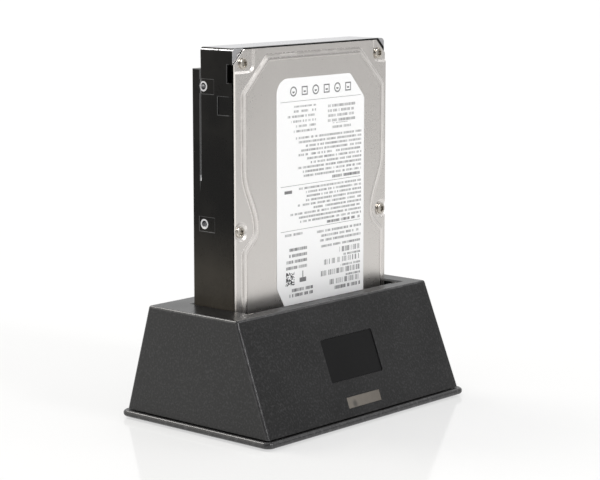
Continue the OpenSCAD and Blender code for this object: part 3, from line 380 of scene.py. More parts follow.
# grain and depth in mm, streak: scale of the grain along x, y and z
metals = {
    "screw steel": {
        "tone": (0.50, 0.49, 0.47), "dull": (0.40, 0.39, 0.37), "rough": 0.28,
        "grain": 0.6, "streak": (1, 1, 1), "depth": 0.004,
    },
    "drive screw steel": {
        "tone": (0.60, 0.565, 0.51), "dull": (0.40, 0.37, 0.33), "rough": 0.22,
        "grain": 0.5, "streak": (1, 1, 1), "depth": 0.004,
    },
    "dark steel": {
        "tone": (0.16, 0.155, 0.15), "dull": (0.10, 0.10, 0.095), "rough": 0.34,
        "grain": 0.4, "streak": (0.3, 1, 1), "depth": 0.003,
    },
    "contact gold": {
        "tone": (0.83, 0.62, 0.25), "dull": (0.70, 0.50, 0.20), "rough": 0.26,
        "grain": 0.3, "streak": (1, 1, 0.2), "depth": 0.002,
    },
    "can metal": {
        "tone": (0.63, 0.63, 0.62), "dull": (0.52, 0.52, 0.51), "rough": 0.3,
        "grain": 0.5, "streak": (1, 1, 0.2), "depth": 0.004,
    },
    "socket metal": {
        "tone": (0.62, 0.61, 0.59), "dull": (0.50, 0.49, 0.47), "rough": 0.3,
        "grain": 0.35, "streak": (1, 0.15, 1), "depth": 0.004,
    },
    "motor metal": {
        "tone": (0.58, 0.57, 0.55), "dull": (0.46, 0.45, 0.44), "rough": 0.34,
        "grain": 0.4, "streak": (1, 0.3, 1), "depth": 0.005,
    },
    "head steel": {
        "tone": (0.55, 0.55, 0.54), "dull": (0.45, 0.45, 0.44), "rough": 0.3,
        "grain": 0.4, "streak": (1, 1, 1), "depth": 0.003,
    },
    "magnet metal": {
        "tone": (0.52, 0.52, 0.51), "dull": (0.38, 0.38, 0.37), "rough": 0.36,
        "grain": 0.8, "streak": (1, 1, 1), "depth": 0.006,
    },
    "coil copper": {
        "tone": (0.66, 0.30, 0.12), "dull": (0.48, 0.20, 0.08), "rough": 0.32,
        "grain": 0.25, "streak": (1, 4, 1), "depth": 0.01,
    },
}


# shared by all plain metals
metalWear = {"stain": 7.0, "stainRough": 0.14, "streakRough": 0.1, "rubRough": 0.05}


def plainMetal(name):
    look = metals[name]
    material, shader, place = startFinish(name)
    streak = cloud(stretched(place, look["streak"]), look["grain"], detail=3.0)
    stain = cloud(place, metalWear["stain"])
    rub = marked(place, "edge")
    rough = swing(stain, metalWear["stainRough"]) + swing(streak, metalWear["streakRough"])
    dress(place, shader, {
        "Base Color": blendTone((streak + stain) / 2, look["dull"], look["tone"]),
        "Metallic": 1.0,
        "Roughness": look["rough"] + rough - rub * metalWear["rubRough"],
        "Normal": relief(streak, look["depth"]),
    })
    return material


coverLook = {
    # the third tone is the painted shade in the bead's creases
    "tone": (0.79, 0.758, 0.730), "dull": (0.66, 0.635, 0.610), "paintedShade": (0.16, 0.145, 0.13),
    "rough": 0.30, "speck": 0.7, "depth": 0.008, "smear": 34.0, "stretch": (1.0, 1.0, 0.45),
    "speckShare": 0.5, "smearShare": 0.4, "rubAndHighlightShare": 0.3, "paintedShadeShare": 0.75,
    "patch": 5.0, "patchFrom": (0.2, 0.6),
    "speckRough": 0.12, "smearRough": 0.12, "rubRough": 0.10, "paintedShadeRough": 0.1,
}


def coverSteel():
    look = coverLook
    material, shader, place = startFinish("cover steel")
    speck = cloud(place, look["speck"], detail=3.0)
    smear = cloud(stretched(place, look["stretch"]), look["smear"], detail=3.0)
    rub = marked(place, "edge")
    # painted shade: the rings marked crease turn darker, in patches
    paintedShade = marked(place, "crease") * soft(cloud(place, look["patch"]), *look["patchFrom"])
    # rubbed, rounded edges and the bead's crest turn lighter: wear and a painted highlight
    share = speck * look["speckShare"] + smear * look["smearShare"] + rub * look["rubAndHighlightShare"]
    tone = blendTone(share, look["dull"], look["tone"])
    rough = swing(smear, look["smearRough"]) + swing(speck, look["speckRough"])
    dress(place, shader, {
        "Base Color": blendTone(paintedShade * look["paintedShadeShare"], tone, look["paintedShade"]),
        "Metallic": 1.0,
        "Roughness": look["rough"] + rough - rub * look["rubRough"] + paintedShade * look["paintedShadeRough"],
        "Normal": relief(speck, look["depth"]),
    })
    return material


castingLook = {
    "paint": (0.003, 0.0028, 0.0025), "dust": (0.010, 0.0092, 0.008), "bare": (0.56, 0.56, 0.575),
    "rough": 0.28, "shine": 0.10, "peel": 1.1, "peelDeep": 0.010, "peelRough": 0.08,
    "cloud": 18.0, "dustFrom": (0.4, 0.75), "dustRough": 0.16,
    # lighter film, full at the foot of the drive: a painted reflection, mottled by the dust
    "film": (0.085, 0.075, 0.060), "paintedReflectionFull": 22.0, "paintedReflectionEnd": 78.0, "paintedReflectionDust": 0.5, "paintedReflectionLeast": 0.6,
    # bare metal: cut corners left and right, top, and a worn band under it that also paints a highlight
    # line; rounded edges worn bare in part, also a painted highlight
    "land": 2.26, "ears": (7.0, 4.2), "top": 146.96, "topFrom": 4.4, "wornAndHighlightBand": (145.9, 146.35),
    "chip": 1.4, "chipFrom": (0.34, 0.42), "wearAndHighlight": 0.14, "skin": 0.6,
    # bare metal: rims and bores of the threaded holes, ragged by the chips
    "sideHoles": (28.5, 70.1, 130.1), "sideDepth": 19.75, "rim": 2.35, "bore": 1.8, "boreDeep": 4.0,
    "backHoles": ((3.18, 41.28), (98.42, 41.28), (3.18, 85.73), (98.42, 85.73)),
    "backRim": 2.7, "backFrom": 22.0, "ragged": 0.25,
    # bright bare strip in the groove at the back: a painted highlight, brightest at its foot
    "groove": (20.9, 21.8), "grooveFoot": (89.0, 91.5), "grooveShare": 0.3, "grooveSkin": 0.7,
}


def castingPaint():
    look = castingLook
    material, shader, place = startFinish("casting")
    x, y, z = [(axis - start) / mm for axis, start in zip(axes(place), drive["at"])]
    peel = cloud(place, look["peel"])
    dust = cloud(place, look["cloud"], detail=4.0)
    chip = cloud(place, look["chip"])
    ragged = chip * look["ragged"]
    side = x.maths("PINGPONG", x, drive["wide"] / 2)  # distance from the nearer side
    skin = side < look["skin"]
    left, right = [ear - drive["tall"] for ear in look["ears"]]
    reached = (x < drive["wide"] / 2) * (left - right) + right
    bare = (y < look["land"]) * (side - z < reached)
    bare = most(bare, (z > look["top"]) * (y > look["topFrom"]))
    for hole in look["sideHoles"]:
        away = reach(y - look["sideDepth"], z - hole)
        bare = most(bare, (away + ragged < look["rim"]) * skin)
        bare = most(bare, (away < look["bore"]) * (side < look["boreDeep"]))
    for across, up in look["backHoles"]:
        ring = reach(x - across, z - up) + ragged < look["backRim"]
        bare = most(bare, ring * (y > look["backFrom"]))
    # worn band under the top: chipped bare metal that also paints the highlight line along the side's top
    # edge
    bare = most(bare, between(z, *look["wornAndHighlightBand"]) * skin * soft(chip, *look["chipFrom"]))
    # rounded edges partly bare: wear that also paints a highlight
    bare = most(bare, marked(place, "edge") * (y > look["topFrom"]) * look["wearAndHighlight"])
    # painted highlight along the groove, brightest at its foot
    groove = between(y, *look["groove"]) * (side < look["grooveSkin"])
    bare = most(bare, groove * (z > look["grooveFoot"][0]) * look["grooveShare"])
    bare = most(bare, groove * between(z, *look["grooveFoot"]))
    # painted reflection: the paint turns lighter towards the foot of the drive
    film = 1 - soft(z, look["paintedReflectionFull"], look["paintedReflectionEnd"])
    film = film * (dust * look["paintedReflectionDust"] + look["paintedReflectionLeast"])
    paint = blendTone(soft(dust, *look["dustFrom"]), look["paint"], look["dust"])
    dress(place, shader, {
        "Base Color": blendTone(bare, blendTone(film, paint, look["film"]), look["bare"]),
        "Metallic": bare,
        "Roughness": look["rough"] + swing(dust, look["dustRough"]) + swing(peel, look["peelRough"]),
        "Specular IOR Level": look["shine"],
        "Normal": relief(peel, look["peelDeep"]),
    })
    return material


labelLook = {
    "at": (-22.4, 47.2), "paper": (0.95, 0.95, 0.955), "ink": (0.045, 0.045, 0.05),
    "fibre": 0.5, "fibreTone": (0.42, 0.42, 0.43), "fibreShare": 0.04, "depth": 0.004,
    "rough": 0.34, "fibreRough": 0.1, "inkRough": 0.08,
    # rules: height, first end, last end
    "rules": ((93.2, 2.5, 57.0), (56.0, 2.5, 57.0), (36.0, 2.5, 57.0)), "ruleHalf": 0.11, "ruleInk": 0.75,
    # lines of print: lowest, highest, pitch, share of ink, first end, last end, raggedness, darkness
    "prints": (
        (82.4, 91.2, 2.2, 0.55, 33.0, 53.0, 4.0, 0.8),
        (79.4, 82.0, 2.2, 0.50, 34.0, 50.0, 6.0, 0.8),
        (79.4, 91.2, 2.2, 0.46, 6.0, 26.0, 10.0, 0.8),
        (59.2, 78.2, 1.9, 0.52, 10.0, 57.5, 12.0, 0.85),
        (57.0, 58.6, 1.6, 0.80, 37.0, 56.5, 2.0, 1.1),
        (38.9, 55.4, 1.85, 0.52, 8.0, 57.5, 16.0, 0.85),
        (36.8, 38.3, 1.5, 0.80, 33.0, 56.5, 2.0, 1.1),
        (28.7, 34.9, 2.1, 0.52, 22.0, 57.5, 10.0, 0.85),
        (26.0, 27.3, 1.3, 0.80, 29.0, 57.0, 2.0, 0.9),
        (20.6, 21.8, 1.2, 0.80, 44.0, 57.0, 2.0, 0.9),
        (15.8, 17.0, 1.2, 0.80, 43.0, 57.0, 2.0, 0.9),
        (11.0, 12.2, 1.2, 0.80, 46.0, 57.0, 2.0, 0.9),
        (5.6, 7.6, 2.0, 0.80, 38.0, 57.0, 2.0, 1.1),
        (33.6, 35.0, 1.4, 0.80, 5.0, 17.0, 2.0, 0.8),
        (18.6, 28.4, 2.7, 0.50, 4.5, 20.0, 4.0, 1.0),
        (6.0, 10.2, 2.3, 0.62, 8.0, 24.0, 3.0, 1.1),
    ),
    # greeked words and letters: widths, share of gaps, how far the ink varies, least ink
    "word": 0.9, "wordGap": 0.14, "letter": 0.42, "letterInk": 0.55, "letterLeast": 0.3,
    # strips of upright strokes: lowest, highest, first end, last end
    "strips": (
        (22.4, 24.8, 42.4, 56.6), (17.8, 20.2, 31.7, 56.6),
        (12.8, 15.2, 29.5, 56.6), (8.2, 10.6, 35.6, 56.6),
    ),
    "stroke": 0.27, "strokeGap": 0.5, "strokeInk": 0.7,
    # block of random squares: lowest, highest, first end, last end
    "block": (11.4, 17.4, 5.6, 11.6), "square": 0.5, "squareGap": 0.45,
    # plain signs in a row, rings and squares by turns: height, first, pitch, count, radius, line
    # signSquare draws the squares smaller, signGap is how many lines the core stays clear
    "signs": (97.6, 11.0, 7.4, 6, 2.2, 0.62), "signSquare": 1.12, "signGap": 2.2,
    # solid bars: lowest, highest, first end, last end
    "bars": ((52.6, 54.0, 5.0, 10.0), (12.2, 14.2, 15.0, 19.4), (14.2, 17.2, 16.9, 17.5)), "barInk": 0.85,
}


def scatter(first, second):
    cell = first.add("CombineXYZ", None, {0: first, 1: second})
    return first.add("TexWhiteNoise", {"noise_dimensions": "2D"}, {"Vector": cell})


def labelPaper():
    look = labelLook
    material, shader, place = startFinish("label paper")
    x, _, z = axes(place)
    u, v = x / mm - look["at"][0], z / mm - look["at"][1]

    def field(low, high, first, last):
        return between(v, low, high) * between(u, first, last)

    dark = u * 0.0
    for height, first, last in look["rules"]:
        rule = field(height - look["ruleHalf"], height + look["ruleHalf"], first, last)
        dark = most(dark, rule * look["ruleInk"])
    for low, high, pitch, share, first, last, ragged, strength in look["prints"]:
        line = (v - low) / pitch
        row = whole(line)
        start = scatter(row, row * 0.0 + low) * ragged + first
        word = scatter(whole(u / look["word"]), row + low) > look["wordGap"]
        letter = scatter(whole(u / look["letter"]), row + high) * look["letterInk"] + look["letterLeast"]
        ink = between(v, low, high) * (line - row < share) * (u > start) * (u < last) * word
        dark = most(dark, ink * letter * strength)
    for low, high, first, last in look["strips"]:
        stroke = scatter(whole(u / look["stroke"]), u * 0.0 + low) > look["strokeGap"]
        dark = most(dark, field(low, high, first, last) * stroke * look["strokeInk"])
    squares = scatter(whole(u / look["square"]), whole(v / look["square"])) > look["squareGap"]
    dark = most(dark, field(*look["block"]) * squares)
    height, first, pitch, count, radius, line = look["signs"]
    for index in range(count):
        across, up = u - (first + index * pitch), v - height
        if index % 2:
            away = most(across.maths("ABSOLUTE", across), up.maths("ABSOLUTE", up)) * look["signSquare"]
        else:
            away = reach(across, up)
        core = (away < radius - look["signGap"] * line) * (up < 0.0)
        dark = most(dark, most(between(away, radius - line, radius), core) * look["barInk"])
    for bar in look["bars"]:
        dark = most(dark, field(*bar) * look["barInk"])
    fibre = cloud(place, look["fibre"], detail=3.0)
    printed = blendTone(dark, look["paper"], look["ink"])
    dress(place, shader, {
        "Base Color": blendTone(fibre * look["fibreShare"], printed, look["fibreTone"]),
        "Roughness": look["rough"] + fibre * look["fibreRough"] + dark * look["inkRough"],
        "Normal": relief(fibre, look["depth"]),
    })
    return material


boardLook = {
    # tone of the mask, tone over the tracks
    "tones": {
        "circuit board": ((0.008, 0.050, 0.024), (0.020, 0.120, 0.058)),
        "drive circuit board": ((0.006, 0.038, 0.027), (0.016, 0.095, 0.066)),
    },
    "track": 3.4, "jitter": 0.55, "lines": 9.0, "lineFrom": (0.3, 0.75), "trackShare": 0.8,
    "pad": (0.46, 0.40, 0.24), "dots": 2.3, "dot": (0.05, 0.12), "used": 0.45,
    "haze": 9.0, "hazeShare": 0.2, "hazeRough": 0.1, "rough": 0.3, "padRough": 0.05, "depth": 0.02,
}


def circuitBoard(name):
    look = boardLook
    material, shader, place = startFinish(name)
    cells = place.add("TexVoronoi", {"distance": "CHEBYCHEV", "feature": "F1"}, {
        "Vector": place, "Scale": 1 / (look["track"] * mm), "Randomness": look["jitter"],
    })
    steps = cells * look["lines"]
    tracks = between(steps.maths("FRACT", steps), *look["lineFrom"])
    spots = {"Vector": place, "Scale": 1 / (look["dots"] * mm)}
    haze = cloud(place, look["haze"])
    ring = between(place.add("TexVoronoi", {"feature": "F1"}, spots), *look["dot"]) * (haze > look["used"])
    tone = blendTone(tracks * look["trackShare"] + haze * look["hazeShare"], *look["tones"][name])
    dress(place, shader, {
        "Base Color": blendTone(ring, tone, look["pad"]),
        "Metallic": ring,
        "Roughness": look["rough"] + swing(haze, look["hazeRough"]) - ring * look["padRough"],
        "Normal": relief(tracks + ring, look["depth"]),
    })
    return material


windowLook = {
    "tone": (0.115, 0.100, 0.083), "pale": (0.185, 0.166, 0.142), "lamp": (0.045, 0.041, 0.036),
    "lampAt": (-6.6, 9.0), "lampCore": 0.3, "radius": 2.2, "squash": 0.9, "lampShare": 0.8,
    "from": -11.2, "wide": 22.4, "fadeShare": 0.4, "swirl": 2.4, "swirlShare": 0.5,
    "rough": 0.3, "swirlRough": 0.12, "depth": 0.01, "coat": 0.2,
}


def windowPlastic():
    look = windowLook
    material, shader, place = startFinish("window plastic")
    x, _, z = axes(place)
    swirl = cloud(place, look["swirl"], detail=3.0)
    fade = 1 - soft((x / mm - look["from"]) / look["wide"], 0.0, 1.0)
    away = reach(x / mm - look["lampAt"][0], (z / mm - look["lampAt"][1]) * look["squash"])
    clear = soft(away, look["lampCore"], look["radius"]) * look["lampShare"] + (1 - look["lampShare"])
    tone = blendTone(swirl * look["swirlShare"] + fade * look["fadeShare"], look["tone"], look["pale"])
    dress(place, shader, {
        "Base Color": blendTone(clear, look["lamp"], tone),
        "Roughness": look["rough"] + swirl * look["swirlRough"],
        "Normal": relief(swirl, look["depth"]),
        "Coat Weight": look["coat"],
    })
    return material


platterLook = {
    "tone": (0.74, 0.73, 0.71), "film": (0.62, 0.60, 0.56), "at": (2.9, 114.4), "rough": 0.05,
    "rings": 2.4, "ringShare": 0.04, "ringRough": 0.006,
    "smear": 16.0, "smearShare": 0.2, "smearRough": 0.03,
}


def platterMirror():
    look = platterLook
    material, shader, place = startFinish("platter mirror")
    x, _, z = axes(place)
    radius = reach(x / mm - look["at"][0], z / mm - look["at"][1])
    rings = radius.maths("SINE", radius * look["rings"])
    smear = cloud(place, look["smear"])
    share = rings * look["ringShare"] + smear * look["smearShare"]
    dress(place, shader, {
        "Base Color": blendTone(share, look["tone"], look["film"]),
        "Metallic": 1.0,
        "Roughness": look["rough"] + rings * look["ringRough"] + smear * look["smearRough"],
    })
    return material


ledLook = {
    "lens": (0.10, 0.22, 0.62), "deep": (0.03, 0.07, 0.30), "haze": 1.6, "rough": 0.12, "hazeRough": 0.1,
    "coat": 0.5,
}


def ledLens():
    look = ledLook
    material, shader, place = startFinish("led lens")
    haze = cloud(place, look["haze"])
    dress(place, shader, {
        "Base Color": blendTone(haze, look["deep"], look["lens"]),
        "Roughness": look["rough"] + haze * look["hazeRough"],
        "Coat Weight": look["coat"],
    })
    return material


finishes = {name: mouldedPlastic(name) for name in plastics}
finishes.update({name: plainMetal(name) for name in metals})
finishes.update({name: circuitBoard(name) for name in boardLook["tones"]})
finishes["cover steel"] = coverSteel()
finishes["casting"] = castingPaint()
finishes["label paper"] = labelPaper()
finishes["window plastic"] = windowPlastic()
finishes["platter mirror"] = platterMirror()
finishes["led lens"] = ledLens()
print("finishes made:", len(finishes))


# Pieces

# Copies of solids: points nearer than weld are joined, as are faces that turn less than flat degrees.
# Edges are sharp and shading is split from so many degrees. A turn of a round is in radians.
working = {
    "weld": 0.002, "flat": 0.4, "sharp": 40.0, "crease": 32.0, "roundWidth": 0.6, "roundTurn": (0.05, 0.5),
}


def smoothByAngle(mesh, degrees):
    for face in mesh.polygons:
        face.use_smooth = True
    mesh.set_sharp_from_angle(angle=math.radians(degrees))


def addPiece(name, build, finish, body, replaced=(), crease=working["crease"]):
    mesh = bpy.data.meshes.new(name)
    build.to_mesh(mesh)
    build.free()
    piece = bpy.data.objects.new(name, mesh)
    scene.collection.objects.link(piece)
    mesh.materials.append(finishes[finish])
    smoothByAngle(mesh, crease)
    flat = piece.modifiers.new("flat faces", "WEIGHTED_NORMAL")
    flat.keep_sharp = True
    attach(piece, body)
    if replaced:
        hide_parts(*replaced)


def mergedCopy(node):
    build = bmesh.new()
    build.from_mesh(nodes[node].data)
    # the crease layer holds the share of painted shade; the edge layer holds wear, which lightens some
    # finishes as a painted highlight
    for layerName in ("edge", "crease"):
        build.faces.layers.float.new(layerName)
    bmesh.ops.remove_doubles(build, verts=build.verts, dist=working["weld"] * mm)
    bmesh.ops.dissolve_limit(
        build, angle_limit=math.radians(working["flat"]), use_dissolve_boundaries=False,
        verts=build.verts, edges=build.edges, delimit=set(),
    )
    return build


def markFaces(build, faces, layerName, share):
    layer = build.faces.layers.float[layerName]
    for face in faces:
        if face.is_valid:
            face[layer] = share


def roundEdges(build, edges, width, segments, clamp=True):
    made = bmesh.ops.bevel(
        build, geom=edges, offset=width * mm, offset_type="OFFSET", segments=segments, profile=0.5,
        affect="EDGES", clamp_overlap=clamp, material=-1,
    )
    markFaces(build, made["faces"], "edge", 1.0)


def markRounds(build):  # narrow faces of edges that are already round
    low, high = working["roundTurn"]
    for face in build.faces:
        longest = max(edge.calc_length() for edge in face.edges)
        narrow = face.calc_area() < working["roundWidth"] * mm * longest
        turns = [edge.calc_face_angle(0.0) for edge in face.edges if len(edge.link_faces) == 2]
        if narrow and any(low < turn < high for turn in turns):
            markFaces(build, [face], "edge", 1.0)


def openEdges(build):
    return [edge for edge in build.edges if len(edge.link_faces) == 1]


def ofType(items, kind):
    return [item for item in items if isinstance(item, kind)]


def sharpEdges(build, test, degrees=working["sharp"]):
    limit = math.radians(degrees)
    return [
        edge for edge in build.edges
        if len(edge.link_faces) == 2 and edge.calc_face_angle() > limit and test(edge)
    ]


# finish, slot, width of the rounded edges, shortest edge that is rounded
softened = {
    "base_plate": ("shell plastic", "shell_plastic", 0.0, 0.0),
    "rubber_feet": ("foot rubber", "foot_rubber", 0.0, 0.0),
    "badge_plate": ("badge plastic", "badge_plastic", 0.15, 1.0),
    "status_window": ("window plastic", "window_plastic", 0.12, 3.0),
    "drive_cradle": ("slot plastic", "slot_plastic", 0.0, 0.0),
    "flap_door": ("slot plastic", "slot_plastic", 0.25, 2.0),
    "switch_body": ("connector plastic", "connector_plastic", 0.25, 2.0),
    "switch_rocker": ("connector plastic", "connector_plastic", 0.2, 2.0),
    "usb_socket": ("socket metal", "socket_metal", 0.2, 2.0),
    "dc_jack": ("connector plastic", "connector_plastic", 0.2, 2.0),
    "drive_gasket": ("gasket rubber", "gasket_rubber", 0.08, 1.0),
}
softSteps = 2


def soften(node, finish, slot, width, shortest):
    build = mergedCopy(node)
    markRounds(build)
    if width:
        longEdges = sharpEdges(build, lambda edge: edge.calc_length() > shortest * mm)
        roundEdges(build, longEdges, width, softSteps)
    addPiece(node + "_finished", build, finish, nodes[node]["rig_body"], [node])


for node, look in softened.items():
    soften(node, *look)
print("softened copies made:", len(softened))


# Shell: the mould leaves small rounds on the rims of the slot and of the badge recess
shell = {"rim": 0.3, "roof": 52.2, "recess": 0.2, "recessGap": 0.8, "steps": 2}


def makeShell():
    build = mergedCopy("upper_shell")
    markRounds(build)
    low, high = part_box("badge_plate")

    def onRoof(edge):
        return edge.is_convex and all(vert.co.z > shell["roof"] * mm for vert in edge.verts)

    def onRecess(edge):
        gap = shell["recessGap"] * mm
        return edge.is_convex and all(
            low[axis] - gap < vert.co[axis] < high[axis] + gap
            for vert in edge.verts for axis in range(3)
        )

    roundEdges(build, sharpEdges(build, onRoof), shell["rim"], shell["steps"])
    roundEdges(build, sharpEdges(build, onRecess), shell["recess"], shell["steps"])
    addPiece("upper_shell_finished", build, "shell plastic", "dock", ["upper_shell"])


makeShell()
print("shell made")


# Casting: the cast edges outside are rounded, the machined holes keep theirs
casting = {"edge": 0.3, "steps": 2, "from": 1.2, "skin": 0.7, "holeClear": 3.0}


def inDrive(point):
    return (point - drive["at"]) / mm


def makeCasting():
    build = mergedCopy("drive_base")

    def nearHole(spot):
        return any(
            math.hypot(spot.y - castingLook["sideDepth"], spot.z - hole) < casting["holeClear"]
            for hole in castingLook["sideHoles"]
        )

    def outside(edge):
        spots = [inDrive(vert.co) for vert in edge.verts]
        onSide = all(min(spot.x, drive["wide"] - spot.x) < casting["skin"] for spot in spots)
        onTop = all(spot.z > drive["tall"] - casting["skin"] for spot in spots)
        longEnough = edge.calc_length() > casting["from"] * mm
        clear = not any(nearHole(spot) for spot in spots)
        return edge.is_convex and longEnough and (onSide or onTop) and clear

    roundEdges(build, sharpEdges(build, outside), casting["edge"], casting["steps"], clamp=False)
    addPiece("drive_base_finished", build, "casting", "drive", ["drive_base"])


makeCasting()
print("casting made")


# Stamped cover: the plate keeps the solid's pockets and holes, and the middle is drawn up in rings
pressing = {
    "rim": 0.75, "cut": 0.02, "weld": 0.001, "step": 0.5, "floor": 1.30, "level": 0.02,
    "edge": 0.22, "lip": 0.35, "steps": 3, "sharp": 15.0, "crease": 18.0,
    # bead, ring after ring: how far in, height over the rim, wear that also paints a highlight, painted
    # shade in the creases
    "bead": (
        (0.30, 0.03, 0.4, 0.0), (0.30, 0.13, 0.7, 0.0), (0.25, 0.22, 0.0, 0.7), (0.35, 0.34, 0.0, 0.5),
        (0.35, 0.46, 0.0, 0.2), (0.35, 0.56, 0.0, 0.1), (0.30, 0.63, 0.5, 0.0), (0.30, 0.68, 1.0, 0.0),
        (0.30, 0.69, 1.0, 0.0), (0.30, 0.66, 0.6, 0.0), (0.30, 0.62, 0.0, 0.4), (0.35, 0.60, 0.0, 0.2),
    ),
}


def makeCover():
    build = mergedCopy("drive_cover")
    rim = drive["at"].y + pressing["rim"] * mm
    bmesh.ops.bisect_plane(
        build, geom=build.verts[:] + build.edges[:] + build.faces[:], dist=tiny,
        plane_co=(0.0, rim - pressing["cut"] * mm, 0.0), plane_no=(0.0, 1.0, 0.0), clear_inner=True,
    )
    foot = [vert for vert in build.verts if vert.co.y < rim + tiny]
    for vert in foot:
        vert.co.y = rim
    bmesh.ops.remove_doubles(build, verts=foot, dist=pressing["weld"] * mm)
    outline = list({vert for edge in openEdges(build) for vert in edge.verts})
    bmesh.ops.remove_doubles(build, verts=outline, dist=pressing["step"] * mm)
    middle = bmesh.ops.edgeloop_fill(build, edges=openEdges(build))["faces"]
    bmesh.ops.recalc_face_normals(build, faces=build.faces)
    reached = 0.0
    for inward, height, wearAndHighlight, paintedShade in pressing["bead"]:
        ring = bmesh.ops.inset_region(
            build, faces=middle, use_boundary=True, use_even_offset=True,
            thickness=inward * mm, depth=(height - reached) * mm,
        )["faces"]
        reached = height
        # wear marks on the crest rings also paint a highlight
        markFaces(build, ring, "edge", wearAndHighlight)
        # crease marks on the slope rings carry the painted shade
        markFaces(build, ring, "crease", paintedShade)

    def atHeight(level, convex):
        return lambda edge: edge.is_convex == convex and all(
            abs(inDrive(vert.co).y - level) < pressing["level"] for vert in edge.verts
        )

    rounds = ((pressing["floor"], False, pressing["lip"]), (pressing["rim"], True, pressing["edge"]))
    for level, convex, width in rounds:
        edges = sharpEdges(build, atHeight(level, convex), pressing["sharp"])
        roundEdges(build, edges, width, pressing["steps"])
    addPiece(
        "cover_pressing", build, "cover steel", "drive", ["drive_cover"], pressing["crease"]
    )


makeCover()
print("cover made")


# Screws with a six-lobed socket
coverScrews = {
    "places": ((5.6, 140.4), (96.0, 140.4), (3.1, 68.0), (98.5, 68.0), (5.6, 9.5), (96.0, 9.5)),
    "seat": 1.30, "shank": 1.2, "length": 6.0, "head": 2.5, "rise": 1.0, "socket": 1.35, "deep": 0.8,
    "lobes": 6, "lobe": 0.16, "steps": 48,
    # outline of the head: share of its radius, share of its rise
    "dome": ((1.0, 0.0), (1.0, 0.45), (0.95, 0.72), (0.82, 0.92), (0.66, 1.0)),
}


def crosswise(axis):
    return Vector((0, 0, 1)) if abs(axis.z) < 0.5 else Vector((1, 0, 0))


def turnProfile(build, profile, axis, steps, at):
    # profile: distance from the axis, distance along it
    side = crosswise(axis)
    verts = [build.verts.new(at + side * radius * mm + axis * along * mm) for radius, along in profile]
    edges = [build.edges.new(pair) for pair in zip(verts, verts[1:])]
    bmesh.ops.spin(
        build, geom=verts + edges, cent=at, axis=axis, angle=2 * math.pi, steps=steps, use_merge=True
    )


def mergeInto(build, own):
    mesh = bpy.data.meshes.new("part of a piece")
    own.to_mesh(mesh)
    own.free()
    build.from_mesh(mesh)
    bpy.data.meshes.remove(mesh)


def socketScrew(build, at, axis, look):
    own = bmesh.new()
    rise = look["rise"]
    stem = [(look["shank"], -look["length"]), (look["shank"], 0.0)]
    dome = [(radius * look["head"], height * rise) for radius, height in look["dome"]]
    turnProfile(own, stem + dome + [(look["socket"], rise)], axis, look["steps"], at)
    bmesh.ops.remove_doubles(own, verts=own.verts, dist=tiny)
    top = [
        edge for edge in openEdges(own)
        if all((vert.co - at).dot(axis) > rise * mm / 2 for vert in edge.verts)
    ]
    side = crosswise(axis)
    for vert in {vert for edge in top for vert in edge.verts}:
        arm = (vert.co - at) - axis * (vert.co - at).dot(axis)
        angle = math.atan2(arm.dot(axis.cross(side)), arm.dot(side))
        vert.co += arm * look["lobe"] * math.cos(look["lobes"] * angle)
    low = ofType(bmesh.ops.extrude_edge_only(own, edges=top)["geom"], bmesh.types.BMVert)
    bmesh.ops.translate(own, verts=low, vec=axis * -look["deep"] * mm)
    bmesh.ops.holes_fill(own, edges=openEdges(own), sides=0)
    bmesh.ops.recalc_face_normals(own, faces=own.faces)
    mergeInto(build, own)


def makeCoverScrews():
    build = bmesh.new()
    for across, up in coverScrews["places"]:
        at = drive["at"] + Vector((across, coverScrews["seat"], up)) * mm
        socketScrew(build, at, Vector((0, -1, 0)), coverScrews)
    addPiece(
        "cover_screws_turned", build, "drive screw steel", "drive", ["cover_screws"]
    )


makeCoverScrews()
print("cover screws made")


# Door springs of round wire
springs = {
    "hinge": (-14.8, 49.9), "ends": (-47.85, 53.65), "coil": 1.65, "wire": 0.28, "pitch": 1.05,
    "turns": 3.5, "stub": 4.4, "leg": 10.0, "sides": 10, "steps": 20, "crease": 60.0,
}


def makeSprings():
    look = springs
    build = bmesh.new()

    def lengthen(edges, length):
        made = bmesh.ops.extrude_edge_only(build, edges=edges)["geom"]
        bmesh.ops.translate(build, verts=ofType(made, bmesh.types.BMVert), vec=(0, 0, -length * mm))

    for end, way in zip(look["ends"], (1, -1)):
        centre = Vector((end, *look["hinge"])) * mm
        ring = bmesh.ops.create_circle(
            build, cap_ends=False, segments=look["sides"], radius=look["wire"] * mm
        )["verts"]
        bmesh.ops.translate(build, verts=ring, vec=centre + Vector((0, look["coil"], 0)) * mm)
        edges = list({edge for vert in ring for edge in vert.link_edges})
        lengthen(edges, look["stub"])
        spun = bmesh.ops.spin(
            build, geom=ring + edges, cent=centre, axis=(1, 0, 0), angle=look["turns"] * 2 * math.pi,
            steps=int(look["turns"] * look["steps"]), use_duplicate=False,
            dvec=(way * look["pitch"] * mm / look["steps"], 0, 0),
        )["geom_last"]
        lengthen(ofType(spun, bmesh.types.BMEdge), look["leg"])
    bmesh.ops.remove_doubles(build, verts=build.verts, dist=tiny)
    bmesh.ops.holes_fill(build, edges=openEdges(build), sides=0)
    bmesh.ops.recalc_face_normals(build, faces=build.faces)
    addPiece("door_springs", build, "dark steel", "dock", ["flap_springs"], look["crease"])


makeSprings()
print("springs made")


# Plain marks on the rocker: a bar and a ring
rockerMarks = {
    "bar": (0.45, 2.2), "ring": (1.15, 0.4), "sides": 40, "lift": 0.005, "rise": 0.05, "facing": 0.7,
}


def plateOn(build, faces, normal, rise):
    raised = bmesh.ops.extrude_face_region(build, geom=faces, use_keep_orig=True)["geom"]
    bmesh.ops.translate(build, verts=ofType(raised, bmesh.types.BMVert), vec=normal * rise * mm)


